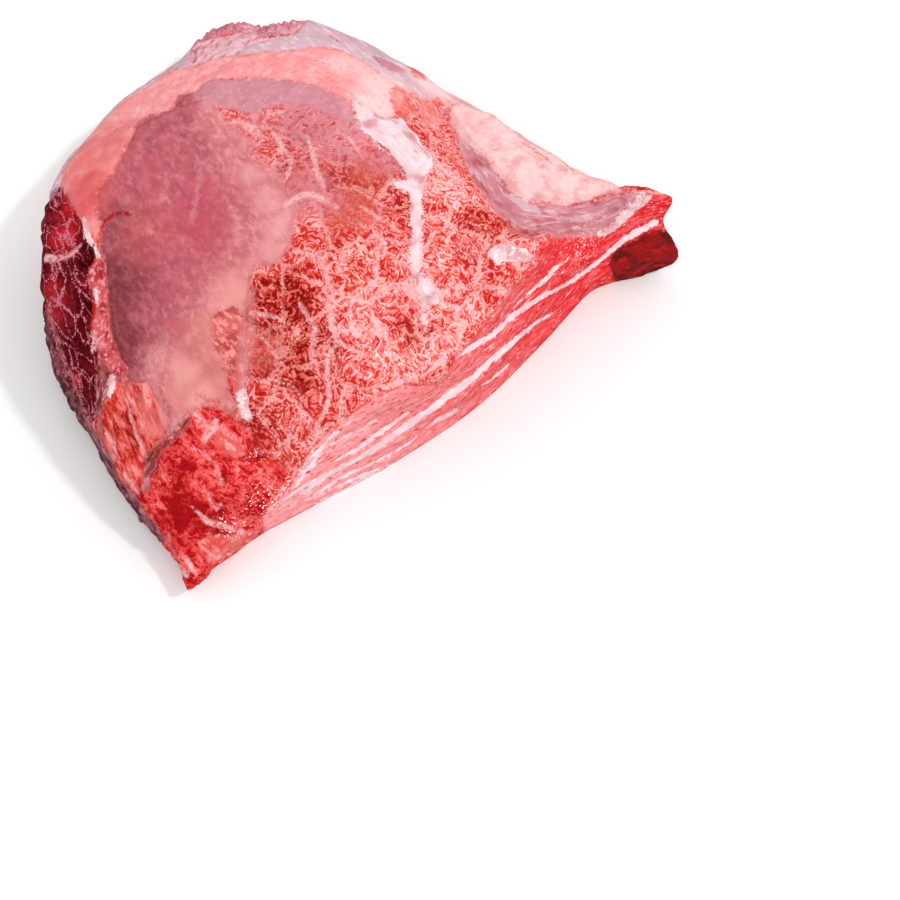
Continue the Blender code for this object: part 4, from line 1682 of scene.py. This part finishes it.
class MeatSheet(NodeSheet):
    """The meat's material while it is filled in, with the fields and noises that its parts share."""

    def __init__(self, tree: bpy.types.NodeTree) -> None:
        """Reads the mesh's fields and adds the noises.

        Args:
            tree: The material's node tree.
        """
        super().__init__(tree)
        self.lie = self.attribute("lie").outputs["Vector"]
        self.fields = {region: self.attribute(region.value).outputs["Fac"] for region in Region}
        self.tints = {tint: self.attribute(tint.value).outputs["Fac"] for tint in Tint}
        self.medium = self.attribute("medium").outputs["Fac"]
        plain = self.vector("SCALE", self.add("ShaderNodeTexCoord").outputs["Object"], 1 / MM)
        self.fine = self.waves(plain, 0.5, 1.0).outputs["Fac"]
        self.small = self.waves(plain, 1.3, 3.0, 0.65).outputs["Fac"]
        self.threads = self.waves(self.lie, 0.5, 1.0).outputs["Fac"]
        self.runs = self.waves(self.lie, 1.3, 3.0, 0.65).outputs["Fac"]

    def covers(self, region: Region, soft: float = 0.12, frayed: float = 0.5) -> bpy.types.NodeSocket:
        """Gives 1 in a region and 0 outside, with a frayed border."""
        fray = self.line(self.small, 2 * frayed, -frayed)
        return self.fall(self.plus(self.fields[region], fray), -soft, soft)


@dataclass(frozen=True)
class MeatFinish:
    """The whole surface of the meat, laid region over region.

    The cut's colours come in pairs, for its left and its right end.
    """

    bump_reach: float = MM
    cover_bump: float = 0.2
    cut_bump: float = 0.1
    subsurface: float = 0.12
    subsurface_radius: tuple[float, float, float] = (1.0, 0.35, 0.25)
    subsurface_scale: float = 0.6 * MM
    ior: float = 1.4
    specular: float = 0.4
    comma_length: float = 0.62
    smooth: tuple[Colour, Colour] = ((204, 84, 74), (216, 108, 98))
    haze: Colour = (214, 134, 146)
    cut_lean: tuple[Colour, Colour] = ((249, 160, 162), (234, 42, 50))
    cut_streaks: tuple[Colour, Colour] = ((253, 188, 190), (246, 104, 108))
    cut_threads: tuple[Colour, Colour] = ((206, 22, 34), (254, 200, 196))
    cut_rim: Colour = (246, 150, 154)
    glint: Colour = (255, 240, 236)
    far_side: Colour = (176, 52, 60)
    spot_tint: float = 0.85
    fleck_tint: float = 0.65
    tinted: dict[Region, tuple[tuple[Tint, Colour], ...]] = field(
        default_factory=lambda: {
            Region.SKIN: (
                # The second tint here darkens the skin's left flank: painted shade.
                (Tint.ROSE, (196, 74, 94)), (Tint.SHADED_FLANK, (130, 46, 52)), (Tint.RED, (202, 82, 78)),
            ),
            Region.BLUSH: (
                (Tint.PEACH, (220, 130, 122)), (Tint.ROSE, (190, 96, 102)), (Tint.MILKY, (240, 170, 166)),
            ),
            # Stains darken further in the pits: painted shade.
            Region.STAIN_AND_SHADE: ((Tint.SHADED_PIT, (150, 10, 10)),),
            Region.FLAP: ((Tint.RED, (206, 78, 84)),),
            Region.FAR_SKIN: ((Tint.MILKY, (246, 208, 210)),),
            Region.SALMON: ((Tint.RED, (218, 84, 86)), (Tint.MILKY, (251, 204, 202))),
        }
    )

    def flesh(
        self, sheet: MeatSheet, bundles: Bundles
    ) -> tuple[bpy.types.NodeSocket, bpy.types.NodeSocket]:
        """Adds the flesh cut across its bundles.

        Args:
            sheet: The material.
            bundles: The pattern of the bundles.

        Returns:
            Its colour and its height.
        """
        side, lobe = sheet.covers(Region.SIDE), sheet.covers(Region.LOBE, 1.0)
        drawn = sheet.math("MAXIMUM", lobe, sheet.covers(Region.FOLDS, 1.0))
        brown, light = sheet.tints[Tint.BROWN], sheet.tints[Tint.LIGHT]
        zones = (
            (light, LIGHT_FLESH), (brown, BROWN_FLESH), (lobe, LOBE_FLESH),
            (sheet.covers(Region.FAR_LOBE), FAR_LOBE_FLESH), (side, SHADED_SIDE_FLESH),
            (sheet.times(side, sheet.tints[Tint.RED]), RED_SIDE_FLESH),
        )
        flesh = sheet.add("ShaderNodeGroup")
        flesh.node_tree = FleshFinish().group(bundles)
        for name in FLESH_COLOURS:
            mixed = linear(*getattr(FLESH, name))
            for share, zone in zones:
                if getattr(zone, name):
                    mixed = sheet.mix(share, mixed, linear(*getattr(zone, name)))
            sheet.feed(flesh.inputs[name.title()], mixed)
        ground = sheet.line(light, 0.06, sheet.line(brown, -0.24, 0.56))
        ground = sheet.blend(side, ground, 0.42)
        ground = sheet.blend(drawn, ground, 0.42)
        values = {
            "Grain": sheet.attribute("grain").outputs["Vector"],
            "Fine": sheet.fine,
            "Runs": sheet.runs,
            "Medium": sheet.medium,
            "Group": sheet.attribute("group").outputs["Fac"],
            "Group shade": sheet.attribute("group_shade").outputs["Fac"],
            "Group tone": sheet.attribute("group_tone").outputs["Fac"],
            "Commas": sheet.waves(sheet.lie, self.comma_length, 0.0, 0.5, 0.4).outputs["Fac"],
            # The ground tone falls in the pits and hollows: painted shade.
            "Ground": sheet.line(sheet.tints[Tint.SHADED_PIT], -0.5, ground),
            "Wall width": sheet.blend(side, sheet.line(brown, 0.02, 0.07), 0.03),
            "Walls": sheet.blend(side, sheet.blend(drawn, sheet.line(brown, 0.12, 0.34), 0.26), 0.8),
            "Strokes": sheet.blend(side, sheet.blend(drawn, 0.6, 0.36), 0.2),
            "Unevenness": sheet.blend(side, sheet.blend(drawn, 1.0, 1.9), 0.8),
            "Veins": sheet.blend(side, sheet.blend(drawn, 0.9, 0.45), 0.15),
        }
        for name, source in values.items():
            sheet.feed(flesh.inputs[name], source)
        smooth = sheet.mix(sheet.step(sheet.small, 0.4, 0.7), *(linear(*tone) for tone in self.smooth))
        colour = sheet.mix(sheet.tints[Tint.PLAIN], flesh.outputs["Colour"], smooth)
        haze = sheet.times(sheet.tints[Tint.HAZE], sheet.step(sheet.small, 0.3, 0.55))
        return sheet.mix(haze, colour, linear(*self.haze)), flesh.outputs["Height"]

    def cut_face(self, sheet: MeatSheet) -> bpy.types.NodeSocket:
        """Adds the cut: fibres along it, pale at the left and red at the right.

        Args:
            sheet: The material.

        Returns:
            Its colour.
        """
        split = sheet.add("ShaderNodeSeparateXYZ")
        sheet.feed(split.inputs[0], sheet.lie)
        rightward = sheet.line(sheet.small, 5.0, sheet.plus(split.outputs[0], -2.5))
        rightward = sheet.step(rightward, -12.0, 11.0)
        lean = sheet.mix(rightward, *(linear(*tone) for tone in self.cut_lean))
        streaks = sheet.mix(rightward, *(linear(*tone) for tone in self.cut_streaks))
        lean = sheet.mix(sheet.step(sheet.runs, 0.48, 0.64), lean, streaks)
        lean = sheet.mix(sheet.step(sheet.threads, 0.58, 0.7), lean, linear(*self.cut_threads[0]))
        lean = sheet.mix(sheet.fall(sheet.threads, 0.28, 0.36), lean, linear(*self.cut_threads[1]))
        rim = sheet.times(sheet.fall(split.outputs[2], 3.0, 11.0), sheet.line(rightward, -0.55, 0.6))
        return sheet.mix(rim, lean, linear(*self.cut_rim))

    def lay_covers(
        self, sheet: MeatSheet, colour: bpy.types.NodeSocket
    ) -> tuple[bpy.types.NodeSocket, bpy.types.NodeSocket]:
        """Lays all that covers the flesh over it.

        Args:
            sheet: The material.
            colour: The colour below the covers.

        Returns:
            The colour and the roughness.
        """
        rough = sheet.line(sheet.fine, 0.4, 0.0)
        shared = Cover.group()
        for cover in COVERS:
            laid = sheet.add("ShaderNodeGroup")
            laid.node_tree = shared
            tones = [linear(*tone) for tone in (cover.base, cover.spots, cover.flecks)]
            for tint, tone in self.tinted.get(cover.region, ()):
                mask = sheet.tints[tint]
                shares = (mask, sheet.times(mask, self.spot_tint), sheet.times(mask, self.fleck_tint))
                tones = [sheet.mix(share, under, linear(*tone)) for share, under in zip(shares, tones)]
            share = cover.share
            if cover.within:
                share = sheet.times(sheet.covers(cover.within, 1.0, 1.0), cover.share)
            values = {
                "Under": colour, "Under roughness": rough, "Roughness": cover.rough,
                "Base": tones[0], "Spots": tones[1], "Flecks": tones[2],
                "Distance": sheet.fields[cover.region], "Soft": cover.soft, "Frayed": cover.frayed,
                "Share": share, "Patchy": cover.patchy, "Waves": sheet.medium, "Runs": sheet.runs,
                "Small": sheet.small, "Fine": sheet.fine,
                "Spots start": cover.spread[0], "Spots full": cover.spread[1],
                "Flecks start": cover.bits[0], "Flecks full": cover.bits[1],
            }
            for name, source in values.items():
                sheet.feed(laid.inputs[name], source)
            colour, rough = laid.outputs["Colour"], laid.outputs["Roughness"]
        return colour, rough

    def build(self, bundles: Bundles) -> bpy.types.Material:
        """Makes the material.

        Args:
            bundles: The pattern of the bundles.

        Returns:
            The material.
        """
        material = bpy.data.materials.new("raw_beef")
        material.use_nodes = True
        sheet = MeatSheet(material.node_tree)
        shader = material.node_tree.nodes["Principled BSDF"]
        cut = sheet.covers(Region.CUT, 0.5, 0.8)
        colour, height = self.flesh(sheet, bundles)
        colour, rough = self.lay_covers(sheet, sheet.mix(cut, colour, self.cut_face(sheet)))
        glint = sheet.times(sheet.tints[Tint.GLINT], sheet.step(sheet.fine, 0.62, 0.66))
        colour = sheet.mix(glint, colour, linear(*self.glint))
        colour = sheet.mix(sheet.times(sheet.tints[Tint.FAR_SIDE], 0.8), colour, linear(*self.far_side))

        relief = sheet.times(sheet.runs, sheet.blend(cut, self.cover_bump, self.cut_bump))
        relief = sheet.times(relief, sheet.attribute("cover_share").outputs["Fac"])
        relief = sheet.line(sheet.attribute("flesh_share").outputs["Fac"], height, relief)
        bump = sheet.add("ShaderNodeBump")
        bump.inputs["Distance"].default_value = self.bump_reach
        bump.inputs["Strength"].default_value = 1.0
        sheet.feed(bump.inputs["Height"], relief)
        sheet.feed(shader.inputs["Base Color"], colour)
        sheet.feed(shader.inputs["Roughness"], rough)
        sheet.feed(shader.inputs["Normal"], bump.outputs["Normal"])
        shader.inputs["Subsurface Weight"].default_value = self.subsurface
        shader.inputs["Subsurface Radius"].default_value = self.subsurface_radius
        shader.inputs["Subsurface Scale"].default_value = self.subsurface_scale
        shader.inputs["IOR"].default_value = self.ior
        shader.inputs["Specular IOR Level"].default_value = self.specular
        return material


@dataclass(frozen=True)
class Studio:
    """Plain pale floor and soft light."""

    floor_half: float = 1.5
    world_light: float = 1.03
    sun_from: tuple[float, float, float] = (0.42, -0.42, 0.80)
    sun_strength: float = 0.85
    sun_width: float = 5.0
    floor_grey: float = 0.93
    floor_roughness: float = 0.9

    def floor(self) -> None:
        """Lays the floor."""
        mesh = bmesh.new()
        bmesh.ops.create_grid(mesh, x_segments=1, y_segments=1, size=self.floor_half)
        data = bpy.data.meshes.new("floor")
        mesh.to_mesh(data)
        mesh.free()
        material = bpy.data.materials.new("floor_white")
        material.use_nodes = True
        shader = material.node_tree.nodes["Principled BSDF"]
        shader.inputs["Base Color"].default_value = (*(self.floor_grey,) * 3, 1.0)
        shader.inputs["Roughness"].default_value = self.floor_roughness
        data.materials.append(material)
        floor = bpy.data.objects.new("floor", data)
        bpy.context.scene.collection.objects.link(floor)
        floor.visible_glossy = False

    def lights(self) -> None:
        """Sets the even light from all round and a soft light from the front right."""
        world = bpy.data.worlds.new("studio")
        bpy.context.scene.world = world
        world.use_nodes = True
        background = world.node_tree.nodes["Background"]
        background.inputs["Color"].default_value = (1.0, 1.0, 1.0, 1.0)
        background.inputs["Strength"].default_value = self.world_light
        world.cycles_visibility.glossy = False
        data = bpy.data.lights.new("key", "SUN")
        data.energy = self.sun_strength
        data.angle = math.radians(self.sun_width)
        key = bpy.data.objects.new("key", data)
        key.rotation_mode = "QUATERNION"
        key.rotation_quaternion = Vector(self.sun_from).to_track_quat("Z", "Y")
        bpy.context.scene.collection.objects.link(key)

    def build(self) -> None:
        """Sets up the floor, the light and how the picture is shown."""
        self.floor()
        self.lights()
        bpy.context.scene.view_settings.view_transform = "Standard"


def main() -> None:
    """Builds the meat, its finish, the studio and the camera."""
    logging.basicConfig(level=logging.INFO, format="%(message)s")
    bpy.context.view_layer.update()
    view = Viewpoint()
    view.make_camera()
    Studio().build()
    bundles = Bundles()
    piece = CheekSurface(view, Chart(), bundles).build()
    piece.data.materials.clear()
    piece.data.materials.append(MeatFinish().build(bundles))
    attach(piece, "root")
    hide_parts("cheek")
    LOG.info("beef_cheek: %d faces", len(piece.data.polygons))


if __name__ == "__main__":
    main()
